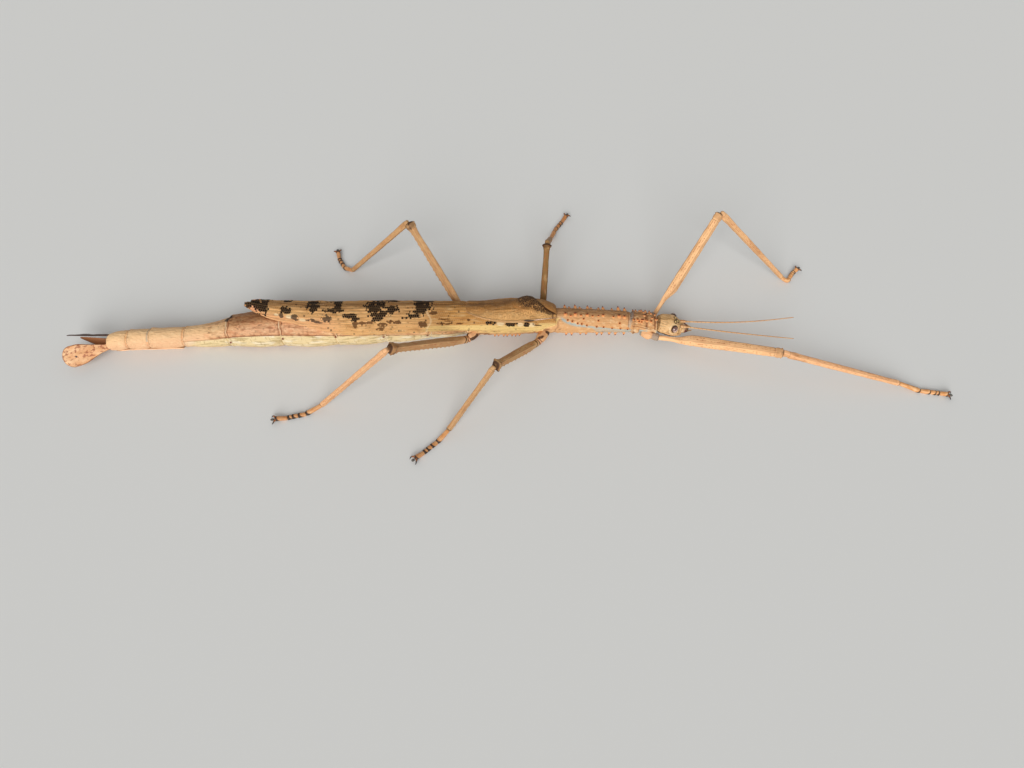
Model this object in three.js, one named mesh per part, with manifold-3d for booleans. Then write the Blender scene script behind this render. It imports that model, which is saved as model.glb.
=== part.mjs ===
// A giant winged stick insect, female, standing on a flat floor at life size.
// Millimetres. +X runs from tail to head, +Y is the insect's left side, +Z is up,
// and the floor is z = 0. The pose is modelled in a frame whose x = 0 is at the
// middle legs and whose y = 0 is the line of the thorax; the last lines move the
// whole insect so that the origin is the bottom centre of its box.

import * as THREE from "three";
import { mergeVertices } from "three/addons/utils/BufferGeometryUtils.js";
import Module from "manifold-3d";

// ---------------------------------------------------------------- dimensions

const GAP = 0.14;              // clear space between neighbouring pieces
const NECK_X = 35.2;           // front edge of the prothorax
const WIDER = 1.03;            // trunk half width over its radius
const FLATTER = 0.97;          // trunk half height over its radius
const THORAX_CLEARANCE = 2.6;  // under the thorax, between belly and floor
const TAIL_CLEARANCE = 2.6;    // under the last segment
const METATHORAX_SAG = 0.7;    // how much lower its keel hangs than its neighbours
const SETTLE = 0.12;           // how far the soft belly is pressed flat
const TRUNK_SIDES = 18;
const SEAM = 1e-3;             // keeps the two rings at a joint from lying on each other
const LIMB_SIDES = 8;

// Trunk segments from the neck back: length, then radius at front, middle, rear.
const SEGMENTS = [
  { name: "pronotum", length: 8.0, radius: [2.8, 3.15, 3.1] },
  { name: "mesothorax", length: 28.8, radius: [3.2, 3.6, 3.75] },
  { name: "metathorax", length: 20.7, radius: [3.8, 4.25, 4.1] },
  { name: "abdomen_2", length: 10.7, radius: [4.1, 4.5, 4.9] },
  { name: "abdomen_3", length: 13.3, radius: [4.85, 5.3, 5.55] },
  { name: "abdomen_4", length: 14.3, radius: [5.5, 5.75, 5.75] },
  { name: "abdomen_5", length: 16.1, radius: [5.7, 5.8, 5.7] },
  { name: "abdomen_6", length: 16.3, radius: [5.65, 5.4, 4.7] },
  { name: "abdomen_7", length: 13.6, radius: [4.5, 3.55, 3.15] },
  { name: "abdomen_8", length: 9.8, radius: [3.05, 3.0, 3.05] },
  { name: "abdomen_9", length: 6.1, radius: [2.95, 2.9, 2.85] },
  { name: "abdomen_10", length: 6.9, radius: [2.75, 2.75, 2.05] },
];

// Legs: joint centres of the pose, and the floor track of the foot. The knees
// stand high, so femur and tibia of each pair have equal lengths left and right.
const LEGS = {
  front_right: { coxa: [30.6, -2.9, 3.9], hip: [35.5, -3.9, 3.7], knee: [70.7, -12.9, 7.1],
    ankle: [104.7, -19.8, 1.7], foot: [[110.6, -21.5], [115.4, -22.3], [118.2, -23.2]] },
  front_left: { coxa: [31.4, 2.2, 4.2], hip: [35.4, 3.7, 3.7], knee: [53.2, 24.2, 27.0],
    ankle: [77.8, 20.6, 2.3], foot: [[80.4, 21.0], [82.3, 23.8], [84.2, 25.4]] },
  middle_right: { coxa: [1.2, -3.3, 4.6], hip: [-1.0, -6.8, 4.3], knee: [-13.4, -21.0, 12.4],
    ankle: [-26.6, -35.6, 1.7], foot: [[-29.4, -38.5], [-33.0, -41.9], [-35.4, -44.2]] },
  middle_left: { coxa: [0.4, 3.3, 4.6], hip: [0.8, 6.5, 4.3], knee: [2.1, 21.6, 16.9],
    ankle: [4.1, 38.0, 1.7], foot: [[6.1, 43.6], [8.6, 47.6], [10.0, 49.8]] },
  hind_right: { coxa: [-19.6, -3.2, 4.6], hip: [-22.1, -5.7, 4.3], knee: [-41.7, -22.6, 22.7],
    ankle: [-63.3, -27.3, 1.7], foot: [[-67.8, -29.5], [-72.9, -30.8], [-76.2, -31.5]] },
  hind_left: { coxa: [-20.6, 3.2, 4.6], hip: [-23.8, 5.5, 4.3], knee: [-39.5, 23.0, 24.4],
    ankle: [-60.2, 24.2, 1.7], foot: [[-63.2, 26.3], [-65.2, 29.6], [-66.2, 33.0]] },
};

// Limb sections: half thickness across the leg's plane, half depth in the plane.
const LIMBS = {
  front: { base: [0.6, 0.72], femur: [1.32, 1.4], knee: [1.15, 1.3], tibia: [0.74, 0.95], ankle: [0.66, 0.66] },
  middle: { base: [0.95, 1.1], femur: [1.02, 1.32], knee: [1.25, 1.55], tibia: [0.72, 0.86], ankle: [0.7, 0.7] },
  hind: { base: [0.95, 1.1], femur: [1.0, 1.3], knee: [1.25, 1.55], tibia: [0.74, 0.88], ankle: [0.7, 0.7] },
};
const FRONT_NOTCH = 0.58;      // how far the front femur's root stands off, to clear the head
const NOTCH_START = 0.15;      // where along the femur the notch ends, and over what run
const NOTCH_RUN = 0.13;
const COXA_RADIUS = 1.35;
const TARSUS_RADIUS = 0.7;
const FOOT_HEIGHT = 0.5;       // centre of the foot pads, so that they are flat below
const CLAW_LENGTH = 1.7;

// ------------------------------------------------------------ shared functions

const clamp01 = (t) => Math.min(1, Math.max(0, t));
const smooth = (t) => clamp01(t) ** 2 * (3 - 2 * clamp01(t));
const radians = THREE.MathUtils.degToRad;
const vector = (p) => new THREE.Vector3(...p);

const spread = (from, to, count) => Array.from({ length: count + 1 }, (_, i) => from + ((to - from) * i) / count);

// A smooth curve through a few [x, value] knots listed by falling x.
function through(knots) {
  const slope = knots.map((_, i) => {
    const [a, b] = [knots[Math.max(i - 1, 0)], knots[Math.min(i + 1, knots.length - 1)]];
    return (b[1] - a[1]) / (b[0] - a[0]);
  });
  return (x) => {
    let i = 0;
    while (i < knots.length - 2 && x < knots[i + 1][0]) i += 1;
    const [[x0, v0], [x1, v1]] = [knots[i], knots[i + 1]];
    const [h, t] = [x1 - x0, clamp01((x - x0) / (x1 - x0))];
    return v0 * (1 + 2 * t) * (1 - t) ** 2 + v1 * t * t * (3 - 2 * t)
      + h * (slope[i] * t * (1 - t) ** 2 - slope[i + 1] * t * t * (1 - t));
  };
}

// A closed body through rings of points, with a fan at each end.
function loft(rings) {
  const sides = rings[0].length;
  const positions = [];
  const index = [];
  const middle = (ring) => ring.reduce((s, p) => s.add(p), new THREE.Vector3()).divideScalar(sides);
  const points = [...rings.flat(), middle(rings[0]), middle(rings.at(-1))];
  for (const p of points) positions.push(p.x, p.y, p.z);
  const [first, last] = [points.length - 2, points.length - 1];
  for (let k = 0; k < sides; k += 1) {
    const next = (k + 1) % sides;
    for (let r = 0; r < rings.length - 1; r += 1) {
      const [a, b] = [r * sides + k, r * sides + next];
      index.push(a, b, a + sides, b, b + sides, a + sides);
    }
    index.push(first, next, k);
    index.push(last, last - 1 - sides + k, last - 1 - sides + next);
  }
  const geometry = new THREE.BufferGeometry();
  geometry.setAttribute("position", new THREE.Float32BufferAttribute(positions, 3));
  geometry.setIndex(index);
  return volume(geometry) < 0 ? flipped(geometry) : geometry;
}

// Signed volume of a closed geometry: negative if its faces point inwards.
function volume(geometry) {
  const [position, index] = [geometry.attributes.position, geometry.index];
  const corner = (i) => new THREE.Vector3().fromBufferAttribute(position, index.getX(i));
  let sum = 0;
  for (let i = 0; i < index.count; i += 3) {
    sum += corner(i).dot(corner(i + 1).cross(corner(i + 2))) / 6;
  }
  return sum;
}

function flipped(geometry) {
  const turned = Array.from(geometry.index.array);
  for (let i = 0; i < turned.length; i += 3) [turned[i], turned[i + 1]] = [turned[i + 1], turned[i]];
  geometry.setIndex(turned);
  return geometry;
}

// A limb piece along points, with [half thickness, half depth] at each point. The
// depth lies in the plane of the leg, whose normal is given. Nothing is below 0.
function limb(points, sizes, normal, sides = LIMB_SIDES, swell = 0) {
  const rings = points.map((p, i) => {
    const ahead = points[Math.min(i + 1, points.length - 1)];
    const behind = points[Math.max(i - 1, 0)];
    const along = ahead.clone().sub(behind).normalize();
    const across = normal.clone().addScaledVector(along, -normal.dot(along)).normalize();
    const depth = along.clone().cross(across);
    return Array.from({ length: sides }, (_, k) => {
      const angle = (2 * Math.PI * (k + 0.5)) / sides;
      const q = p.clone().addScaledVector(across, (sizes[i][0] + swell) * Math.cos(angle))
        .addScaledVector(depth, (sizes[i][1] + swell) * Math.sin(angle));
      q.z = Math.max(q.z, 0);
      return q;
    });
  });
  return loft(rings);
}

const wasm = await Module();
wasm.setup();

function solid(geometry) {
  const bare = geometry.clone();
  bare.deleteAttribute("normal");
  bare.deleteAttribute("uv");
  const merged = mergeVertices(bare, 1e-5);
  return new wasm.Manifold(new wasm.Mesh({
    numProp: 3,
    vertProperties: new Float32Array(merged.attributes.position.array),
    triVerts: new Uint32Array(merged.index.array),
  }));
}

function geometryOf(body) {
  const mesh = body.getMesh();
  const geometry = new THREE.BufferGeometry();
  geometry.setAttribute("position", new THREE.BufferAttribute(new Float32Array(mesh.vertProperties), 3));
  geometry.setIndex(new THREE.BufferAttribute(new Uint32Array(mesh.triVerts), 1));
  return geometry;
}

// Joins extras to a base.
const joined = (base, extras) => geometryOf(extras.reduce((s, g) => s.add(solid(g)), solid(base)));

// Cuts tools out of a base and keeps the largest piece that is left.
function cut(base, tools) {
  const left = tools.reduce((s, g) => s.subtract(solid(g)), solid(base)).decompose();
  return geometryOf(left.reduce((best, piece) => (piece.volume() > best.volume() ? piece : best)));
}

const insect = new THREE.Group();

function add(name, geometry, color, roughness = 0.6) {
  const material = new THREE.MeshStandardMaterial({ color, roughness, metalness: 0 });
  const mesh = new THREE.Mesh(geometry, material);
  mesh.name = name;
  insect.add(mesh);
}

// --------------------------------------------------------------------- trunk

// Sideways place of the spine: straight in the thorax, bending right at both ends.
const spineY = through([[46, -2.5], [36, -0.8], [24, 0], [-32, 0], [-60, -1.6], [-90, -2.5], [-107, -4.4], [-130, -7.1]]);
// How far the middle of the back leans over to the left, in degrees: the body is
// twisted a little, most at the wings and not at all at the head and tail.
const lean = through([[36, 4], [33.5, 13], [30, 18], [25, 20], [10, 23], [-30, 22], [-70, 18], [-100, 8], [-126, 0]]);
// Height of the belly line over the floor; the metathorax hangs a little lower.
const clearance = (x) => THORAX_CLEARANCE * smooth((x + 45) / 32)
  + TAIL_CLEARANCE * smooth((-92 - x) / 36) - SETTLE - METATHORAX_SAG * Math.exp(-(((x + 11) / 8) ** 2));

let edge = NECK_X;
for (const segment of SEGMENTS) {
  segment.front = edge;
  segment.rear = edge - segment.length;
  edge = segment.rear;
}

// Radius within a segment: the parabola through its three radii.
function radiusIn(segment, x) {
  const t = (segment.front - x) / segment.length;
  const [f, m, r] = segment.radius;
  return f * (1 - t) * (1 - 2 * t) + 4 * m * t * (1 - t) + r * t * (2 * t - 1);
}
const segmentAt = (x) => SEGMENTS.find((s) => x > s.rear) ?? SEGMENTS.at(-1);

const trunkSteps = (segment) => Math.max(2, Math.round(segment.length / 4.5));

function section(x, segment = segmentAt(x)) {
  const r = radiusIn(segment, x);
  const half = r * FLATTER;
  return { y: spineY(x), z: clearance(x) + half, a: r * WIDER, b: half };
}

// A point of the trunk's skin; angle 0 is the back, 90 the right side.
function onTrunk(x, angle, segment = segmentAt(x), raise = 0) {
  const s = section(x, segment);
  const p = new THREE.Vector3(x, s.y - (s.a + raise) * Math.sin(angle), s.z + (s.b + raise) * Math.cos(angle));
  p.z = Math.max(p.z, 0);
  return p;
}

// A conical spine on the trunk, leaning back a little, sunk into the skin.
function spine(x, angle, height, segment) {
  const root = onTrunk(x, angle, segment, -0.35);
  const tip = onTrunk(x - 0.15 * height, angle, segment, height);
  const along = tip.clone().sub(root);
  const cone = new THREE.ConeGeometry(0.3 + 0.22 * height, along.length(), 4);
  cone.applyQuaternion(new THREE.Quaternion().setFromUnitVectors(new THREE.Vector3(0, 1, 0), along.clone().normalize()));
  const centre = root.addScaledVector(along, 0.5);
  return cone.translate(centre.x, centre.y, centre.z);
}

// Rows of spines on each side: degrees from the middle of the back at the row's
// front and rear, x of its first and last spine, number, height.
const SPINE_ROWS = {
  pronotum: [[20, 12, 34.4, 30.8, 2, 0.4], [38, 41, 32.7, 28.1, 4, 0.7]],
  mesothorax: [[31, 31, 25.2, 7.8, 7, 1.25], [66, 50, 23.1, 12.3, 3, 0.7], [101, 45, 26.1, 7.4, 10, 0.5],
    [147, 147, 25.2, 7.6, 9, 0.8]],
  metathorax: [[148, 148, -6.2, -14.0, 6, 0.6]],
};
const SMALLER = 0.72;          // every second spine of a row, over its neighbours

// A ring of trunk points, turned so that one flat facet is underneath.
const trunkRing = (x, segment, raise = 0) => Array.from({ length: TRUNK_SIDES }, (_, k) =>
  onTrunk(x, (2 * Math.PI * (k + 0.5)) / TRUNK_SIDES, segment, raise));

// The trunk's whole skin grown by the gap, which cuts whatever lies against it.
const trunkTool = loft(SEGMENTS.flatMap((segment) => {
  const steps = trunkSteps(segment);
  return spread(segment.front, segment.rear, steps).map((x, i) =>
    trunkRing(x - (i === 0 ? SEAM : 0), segment, GAP));
}));

function trunkBody(segment) {
  const rings = spread(segment.front - GAP / 2, segment.rear + GAP / 2, trunkSteps(segment))
    .map((x) => trunkRing(x, segment));
  const rows = SPINE_ROWS[segment.name] ?? [];
  const spines = rows.flatMap(([front, rear, from, to, count, height]) => [-1, 1].flatMap((side) =>
    Array.from({ length: count }, (_, i) => {
      const t = i / (count - 1);
      const x = from + (to - from) * t;
      const angle = side * (front + (rear - front) * t) - lean(x);
      return spine(x, radians(angle), height * (i % 2 === 0 ? 1 : SMALLER), segment);
    })));
  return joined(loft(rings), spines);
}

// ---------------------------------------------------------- head and its parts

const HEAD_LENGTH = 7.6;
const HEAD_YAW = radians(-2);
const HEAD_BOW = radians(13);  // how far the face points down
const EYE_RADIUS = 1.1;
const headTurn = new THREE.Matrix4().makeRotationZ(HEAD_YAW)
  .multiply(new THREE.Matrix4().makeRotationY(HEAD_BOW))
  .setPosition(NECK_X + 0.35, spineY(NECK_X) - 0.1, 6.1);
// Head sections: distance from the neck, half width, half height, rise of centre.
const HEAD_SECTIONS = [[-0.3, 2.6, 2.45, -0.05], [1.0, 2.95, 2.7, 0], [2.6, 3.25, 2.95, 0], [4.2, 3.3, 3.0, -0.25],
  [5.4, 3.0, 2.7, -0.5], [6.6, 2.45, 2.25, -0.75], [HEAD_LENGTH, 1.8, 1.65, -0.95]];
const HEAD_SIDES = 14;
const inHead = (x, y, z) => new THREE.Vector3(x, y, z).applyMatrix4(headTurn);

// A loft in the head through sections of half width, half height and rise.
const headLoft = (sections, sides, swell = 0) => loft(sections.map(([x, a, b, rise]) =>
  Array.from({ length: sides }, (_, k) => {
    const angle = (2 * Math.PI * k) / sides;
    return inHead(x, (a + swell) * Math.sin(angle), rise + (b + swell) * Math.cos(angle));
  })));

const eyePlace = (side) => inHead(4.2, side * 2.35, 1.3);
function ball(centre, radius, sides) {
  return new THREE.SphereGeometry(radius, sides, sides / 2).translate(centre.x, centre.y, centre.z);
}

function antenna(side) {
  const root = inHead(6.35, side * 0.95, 1.35);
  const tip = new THREE.Vector3(side > 0 ? 78.4 : 76.8, side > 0 ? 2.2 : -6.1, 5.0);
  const points = [];
  const sizes = [];
  for (const t of spread(0, 1, 8)) {
    const p = root.clone().lerp(tip, t);
    p.y += side * 1.1 * Math.sin(Math.PI * t) * (side > 0 ? -1 : 0.2);
    points.push(p);
    sizes.push([0.42 - 0.16 * t, 0.42 - 0.16 * t]);
  }
  return cut(limb(points, sizes, new THREE.Vector3(0, 1, 0), 6), [headLoft(HEAD_SECTIONS, HEAD_SIDES, GAP)]);
}

// Labrum, mandibles and the two pairs of palps, in one piece under the front.
function mouthBody() {
  const front = HEAD_LENGTH + GAP;
  const muzzle = headLoft([[front, 1.6, 1.4, -1.0], [front + 0.7, 1.35, 1.15, -1.05], [front + 1.4, 0.85, 0.65, -1.1]], 8);
  const palps = [-1, 1].map((side) => limb(
    [[0.2, 0.9, -1.2], [1.2, 1.1, -1.2], [2.9, 0.45, -0.5]].map(([x, y, z]) => inHead(front + x, side * y, z)),
    [[0.36, 0.36], [0.36, 0.36], [0.18, 0.18]], new THREE.Vector3(0, 1, 0), 5));
  return joined(muzzle, palps);
}

// --------------------------------------------------------------------- wings

// The folded wings make one arched roof over the back. At each x the arch has a
// centre (y, z), a half width and a top; the hindwings fill it and the short
// forewings lie on its front end.
const archY = through([[5, 0], [-20, 0], [-45, -0.6], [-62, -1.2], [-78, -0.4], [-88, 1.7]]);
const archZ = through([[5, 6.1], [-4, 7.0], [-24, 7.5], [-62, 7.7], [-78, 9.0], [-88, 11.4]]);
const archWidth = through([[5, 4.1], [-4, 5.0], [-24, 5.2], [-45, 5.85], [-62, 6.1], [-78, 4.7], [-88, 1.8]]);
const archTop = through([[5, 10.0], [-4, 11.4], [-24, 12.0], [-45, 12.6], [-62, 12.9], [-78, 13.3], [-88, 13.0]]);
const CHORD = 0.16;            // the extra room that flat facets over a round back need
const SKIN = 0.55;             // the least thickness of the folded wing
const WING_TIP = { right: -87.6, left: -86.0 };
const WING_MARGIN = { right: 84, left: 94 }; // degrees down the side at the wing's base
const TEGMEN_THICKNESS = 0.6;
const TEGMEN = { front: 4.6, rear: -22.4, margin: 72, humpX: -3.6, humpAngle: 4, sunk: 0.4 };
const HUMP = { right: 2.3, left: 1.0 };

function onArch(x, angle, raise) {
  const [y, z] = [archY(x), archZ(x)];
  return new THREE.Vector3(x, y - (archWidth(x) + raise) * Math.sin(angle),
    z + (archTop(x) - z + raise) * Math.cos(angle));
}

// Where the wings of the two sides meet along the back, less half the gap.
const parting = (side, x) => side * (GAP / archWidth(x)) - radians(lean(x));

// Moves a point straight out of the trunk until it is clear of it by a margin.
function clearOfTrunk(p, margin) {
  const s = section(p.x);
  const [a, b] = [s.a + margin, s.b + margin];
  const reach = Math.hypot((p.y - s.y) / a, (p.z - s.z) / b);
  if (reach < 1) {
    p.y = s.y + (p.y - s.y) / reach;
    p.z = s.z + (p.z - s.z) / reach;
  }
  return p;
}

// A curved sheet between an outer and an inner surface, as rings along x.
function sheet(stations, angles, outer, inner) {
  return loft(stations.map((x) => {
    const across = angles(x);
    return [...across.map((angle) => outer(x, angle)), ...[...across].reverse().map((angle) => inner(x, angle))];
  }));
}

function hindwing(side) {
  const tip = side > 0 ? WING_TIP.right : WING_TIP.left;
  const stations = [...spread(1.5, tip + 6, 12), tip + 2.5, tip];
  const base = side > 0 ? WING_MARGIN.right : WING_MARGIN.left;
  const margin = (x) => base - 32 * smooth((-50 - x) / 26) - 16 * smooth((tip + 5 - x) / 5);
  const angles = (x) => spread(parting(side, x), side * radians(margin(x)), 5);
  const thickness = (x) => 2.6 - 1.4 * smooth((-70 - x) / 16);
  const outer = (x, angle) => clearOfTrunk(onArch(x, angle, 0), GAP + CHORD + SKIN);
  const inner = (x, angle) => {
    const depth = SKIN + (thickness(x) - SKIN) * Math.max(0, Math.cos(angle)) ** 1.5;
    return clearOfTrunk(onArch(x, angle, -depth), GAP + CHORD);
  };
  return cut(sheet(stations, angles, outer, inner), [trunkTool, tegmenSheet(side, 3, 0.02 - GAP, GAP)]);
}

// A forewing between two heights over the arch; grown sideways, it cuts the hindwing.
function tegmenSheet(side, outer, inner, grown = 0) {
  const stations = [TEGMEN.front + grown, 2.2, -0.6, -3.4, -6.5, -11, -16, -20, TEGMEN.rear - grown];
  // The forewing is an oval scale: its outer margin runs in at both ends.
  const margin = (x) => {
    const t = (TEGMEN.front - x) / (TEGMEN.front - TEGMEN.rear);
    return 8 + (TEGMEN.margin - 8) * Math.sin(Math.PI * (0.14 + 0.8 * clamp01(t) ** 1.2)) ** 0.5;
  };
  const angles = (x) => spread(parting(side, x) - (side * grown) / archWidth(x),
    side * (radians(margin(x)) + grown / archWidth(x)) - radians(lean(x)), 6);
  // Each forewing rises to a blunt hump beside the middle of the back, and its rear
  // end lies sunk in the hindwing.
  const humpAt = (x) => radians(side * TEGMEN.humpAngle - lean(x));
  const hump = (x, angle) => (side > 0 ? HUMP.right : HUMP.left) * Math.exp(-(((x - TEGMEN.humpX) / 5.2) ** 2))
    * Math.exp(-(((angle - humpAt(x)) / radians(30)) ** 2));
  const sunk = (x) => TEGMEN.sunk * smooth((-8 - x) / 10);
  const surface = (raise) => (x, angle) =>
    clearOfTrunk(onArch(x, angle, GAP + raise + hump(x, angle) - sunk(x)), GAP + raise);
  return sheet(stations, angles, surface(outer), surface(inner));
}
const tegmen = (side) => cut(tegmenSheet(side, TEGMEN_THICKNESS, 0.02), [trunkTool]);

// ---------------------------------------------------------------------- legs

function legPieces(name, leg) {
  const size = LIMBS[name.split("_")[0]];
  const [coxa, hip, knee, ankle] = [leg.coxa, leg.hip, leg.knee, leg.ankle].map(vector);
  const up = new THREE.Vector3(0, 0, 1);
  const normal = knee.clone().sub(hip).cross(up).normalize();
  const at = (from, to, t) => from.clone().lerp(to, t);
  const short = (from, to, distance) => distance / from.distanceTo(to);

  // Femur: narrow at the base, deepest a quarter of the way, flared at the knee.
  const femurStations = [short(hip, knee, 0.5), NOTCH_START, NOTCH_START + NOTCH_RUN, 0.55, 0.88, 0.95,
    1 - short(hip, knee, 0.1)];
  const femurSizes = [size.base, size.base.map((v) => v * 1.06), size.femur, size.femur.map((v) => v * 0.94),
    size.femur.map((v) => v * 0.88), size.knee, size.knee.map((v) => v * 0.86)];
  const outward = name.startsWith("front") ? FRONT_NOTCH * (name.endsWith("right") ? 1 : -1) : 0;
  const femur = (swell) => limb(femurStations.map((t) => at(hip, knee, t)
    .addScaledVector(normal, outward * (1 - smooth((t - NOTCH_START) / NOTCH_RUN)))), femurSizes, normal, LIMB_SIDES, swell);
  add(`femur_${name}`, cut(femur(0), [trunkTool]), "#b5915a");

  const coxaStations = [0, 0.5, 1 - short(coxa, hip, 0.3)];
  add(`coxa_${name}`, cut(limb(coxaStations.map((t) => at(coxa, hip, t)),
    [1, 1.02, 0.8].map((v) => [v * COXA_RADIUS, v * COXA_RADIUS]), normal), [trunkTool, femur(GAP)]), "#b08a62");

  const tibiaStations = [short(knee, ankle, 0.9), 0.13, 0.5, 0.93, 1 - short(knee, ankle, 0.1)];
  const tibiaSizes = [1.05, 1, 0.92].map((v) => size.tibia.map((w) => v * w)).concat([size.ankle, size.ankle.map((v) => v * 1.12)]);
  const tibia = (swell) => limb(tibiaStations.map((t) => at(knee, ankle, t)), tibiaSizes, normal, LIMB_SIDES, swell);
  add(`tibia_${name}`, cut(tibia(0), [femur(GAP)]), "#c79457");

  // Foot: five joints on flat pads, the last one rising to a pair of claws.
  const [a, b, c] = leg.foot.map(([x, y]) => new THREE.Vector3(x, y, FOOT_HEIGHT));
  const begin = ankle.clone().lerp(a, 0.22 / ankle.distanceTo(a));
  const wrist = at(b, c, 0.75).setZ(1.0);
  const route = new THREE.CatmullRomCurve3([begin, at(begin, a, 0.6).setZ(0.95), a, at(a, b, 0.5), b, wrist, c.clone().setZ(1.15)]);
  const steps = 10;
  const points = spread(0, 1, steps).map((t) => route.getPoint(t));
  const swell = (t) => TARSUS_RADIUS * (1 + 0.14 * Math.cos(2 * Math.PI * 5 * t));
  const foot = limb(points, points.map((_, i) => [swell(i / steps), swell(i / steps) * 0.9]), up, 6);
  const heading = c.clone().sub(b).setZ(0).normalize();
  const aside = new THREE.Vector3(-heading.y, heading.x, 0);
  const claws = [-1, 1].map((side) => limb([0, 0.5, 1].map((t) => c.clone().setZ(1.15)
    .addScaledVector(heading, -0.5 + CLAW_LENGTH * t)
    .addScaledVector(aside, side * (0.2 + 0.95 * t))
    .setZ(1.15 - 0.85 * t ** 2)), [[0.34, 0.34], [0.27, 0.27], [0.12, 0.12]], up, 4));
  add(`tarsus_${name}`, cut(joined(foot, claws), [tibia(GAP)]), "#b87c45");
}

// ---------------------------------------------------------------------- tail

const CERCUS = { length: 12.6, width: 6.5, thickness: 0.7, stalk: 0.55 };
const PLATE = { front: -107.5, rear: -136.8, thickness: 0.55, rise: 0.9 };

// A leaf-shaped cercus: narrow at the root, widest near its round end.
function cercus(side, yaw, roll) {
  const root = new THREE.Vector3(-128.0, spineY(-128) - side * 1.9, side > 0 ? 5.0 : 5.5);
  const turn = new THREE.Matrix4().makeRotationZ(Math.PI + radians(yaw))
    .multiply(new THREE.Matrix4().makeRotationX(-side * radians(roll)));
  const along = spread(0, 1, 9);
  const half = (t) => 0.5 * CERCUS.width * (0.28 + 0.72 * smooth(t / 0.74)) * Math.sqrt(Math.max(0.02, 1 - Math.max(0, (t - 0.78) / 0.22) ** 2));
  return cut(loft(along.map((t) => [[-1, 0], [-0.55, 0.5], [0.55, 0.5], [1, 0], [0.55, -0.5], [-0.55, -0.5]]
    .map(([across, up]) => new THREE.Vector3(CERCUS.stalk + CERCUS.length * t, across * half(t), up * CERCUS.thickness)
      .applyMatrix4(turn).add(root)))), [trunkTool]);
}

// The boat-shaped plate under the last segments, running out to a raised point.
function subgenitalPlate() {
  const stations = [...spread(PLATE.front, -127.6, 5), -130, -132.5, -135, -137, PLATE.rear];
  const reach = (x) => 62 * (1 - 0.1 * smooth((-112 - x) / 14)) * Math.sqrt(Math.max(0.004, 1 - ((-126 - Math.min(x, -126)) / 12.2) ** 2));
  const surface = (raise) => (x, angle) => {
    const nearest = Math.max(x, -128.1);
    const s = section(nearest, SEGMENTS.at(nearest > -116.4 ? -3 : nearest > -122.5 ? -2 : -1));
    const past = clamp01((-126 - x) / 12);
    const narrow = 1 - 0.72 * past ** 1.6;
    return new THREE.Vector3(x, spineY(x) + PLATE.rise * past - (s.a + raise) * narrow * Math.sin(angle),
      s.z + 2.6 * past - (s.b + raise + 0.1) * (1 - 0.5 * past) * Math.cos(angle));
  };
  const angles = (x) => spread(-radians(reach(x)), radians(reach(x)), 6);
  return cut(sheet(stations, angles, surface(GAP + 0.08 + PLATE.thickness), surface(GAP + 0.08)), [trunkTool]);
}

// ------------------------------------------------------------------ assembly

for (const segment of SEGMENTS) {
  add(segment.name, trunkBody(segment), segment.name.startsWith("abdomen") ? "#c69a6b" : "#c08a5c");
}
const sockets = [-1, 1].map((side) => ball(eyePlace(side), EYE_RADIUS + 0.7 * GAP, 12));
add("head", cut(headLoft(HEAD_SECTIONS, HEAD_SIDES), [trunkTool, ...sockets]), "#b3895a");
add("eye_right", ball(eyePlace(-1), EYE_RADIUS, 12), "#5a3a36", 0.25);
add("eye_left", ball(eyePlace(1), EYE_RADIUS, 12), "#5a3a36", 0.25);
add("mouthparts", mouthBody(), "#8a4a38");
add("antenna_right", antenna(-1), "#b07a4a");
add("antenna_left", antenna(1), "#b07a4a");
add("hindwing_right", hindwing(1), "#c39a63");
add("hindwing_left", hindwing(-1), "#c39a63");
add("tegmen_right", tegmen(1), "#a98250");
add("tegmen_left", tegmen(-1), "#a98250");
for (const [name, leg] of Object.entries(LEGS)) legPieces(name, leg);
add("cercus_right", cercus(1, 21, 42), "#d29a5c");
add("cercus_left", cercus(-1, 0, 50), "#6b4030");
add("subgenital_plate", subgenitalPlate(), "#8a4a30");

// The origin is the bottom centre of the whole insect's box.
const box = new THREE.Box3().setFromObject(insect, true);
const centre = box.getCenter(new THREE.Vector3());
for (const mesh of insect.children) mesh.position.set(-centre.x, -centre.y, 0);

const group = new THREE.Group();
group.add(insect);
export default group;
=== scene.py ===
import bpy
import numpy as np
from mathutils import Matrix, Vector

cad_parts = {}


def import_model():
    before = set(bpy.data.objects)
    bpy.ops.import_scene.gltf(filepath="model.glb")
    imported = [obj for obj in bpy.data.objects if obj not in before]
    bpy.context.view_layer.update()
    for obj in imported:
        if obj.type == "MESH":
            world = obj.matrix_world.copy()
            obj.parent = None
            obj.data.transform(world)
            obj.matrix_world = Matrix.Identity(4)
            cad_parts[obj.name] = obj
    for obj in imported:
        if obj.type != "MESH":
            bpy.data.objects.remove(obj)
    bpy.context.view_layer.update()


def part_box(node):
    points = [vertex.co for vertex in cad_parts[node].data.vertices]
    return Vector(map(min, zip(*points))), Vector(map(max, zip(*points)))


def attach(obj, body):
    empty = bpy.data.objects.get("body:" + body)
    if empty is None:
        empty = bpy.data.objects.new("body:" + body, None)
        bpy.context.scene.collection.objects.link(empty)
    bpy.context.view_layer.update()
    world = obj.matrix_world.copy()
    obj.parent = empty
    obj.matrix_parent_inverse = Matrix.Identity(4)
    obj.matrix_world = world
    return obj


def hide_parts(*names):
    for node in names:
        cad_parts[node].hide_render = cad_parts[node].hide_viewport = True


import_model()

# ------------------------------------------------------------- the skin of the trunk
# The trunk is one tube of dry leathery cuticle from the neck to the last segment. Its
# plates overlap like the rings of a telescope: each has a raised rear lip with a pale
# joint skin behind it, and a cream folded strip of softer skin runs along each flank.

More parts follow.
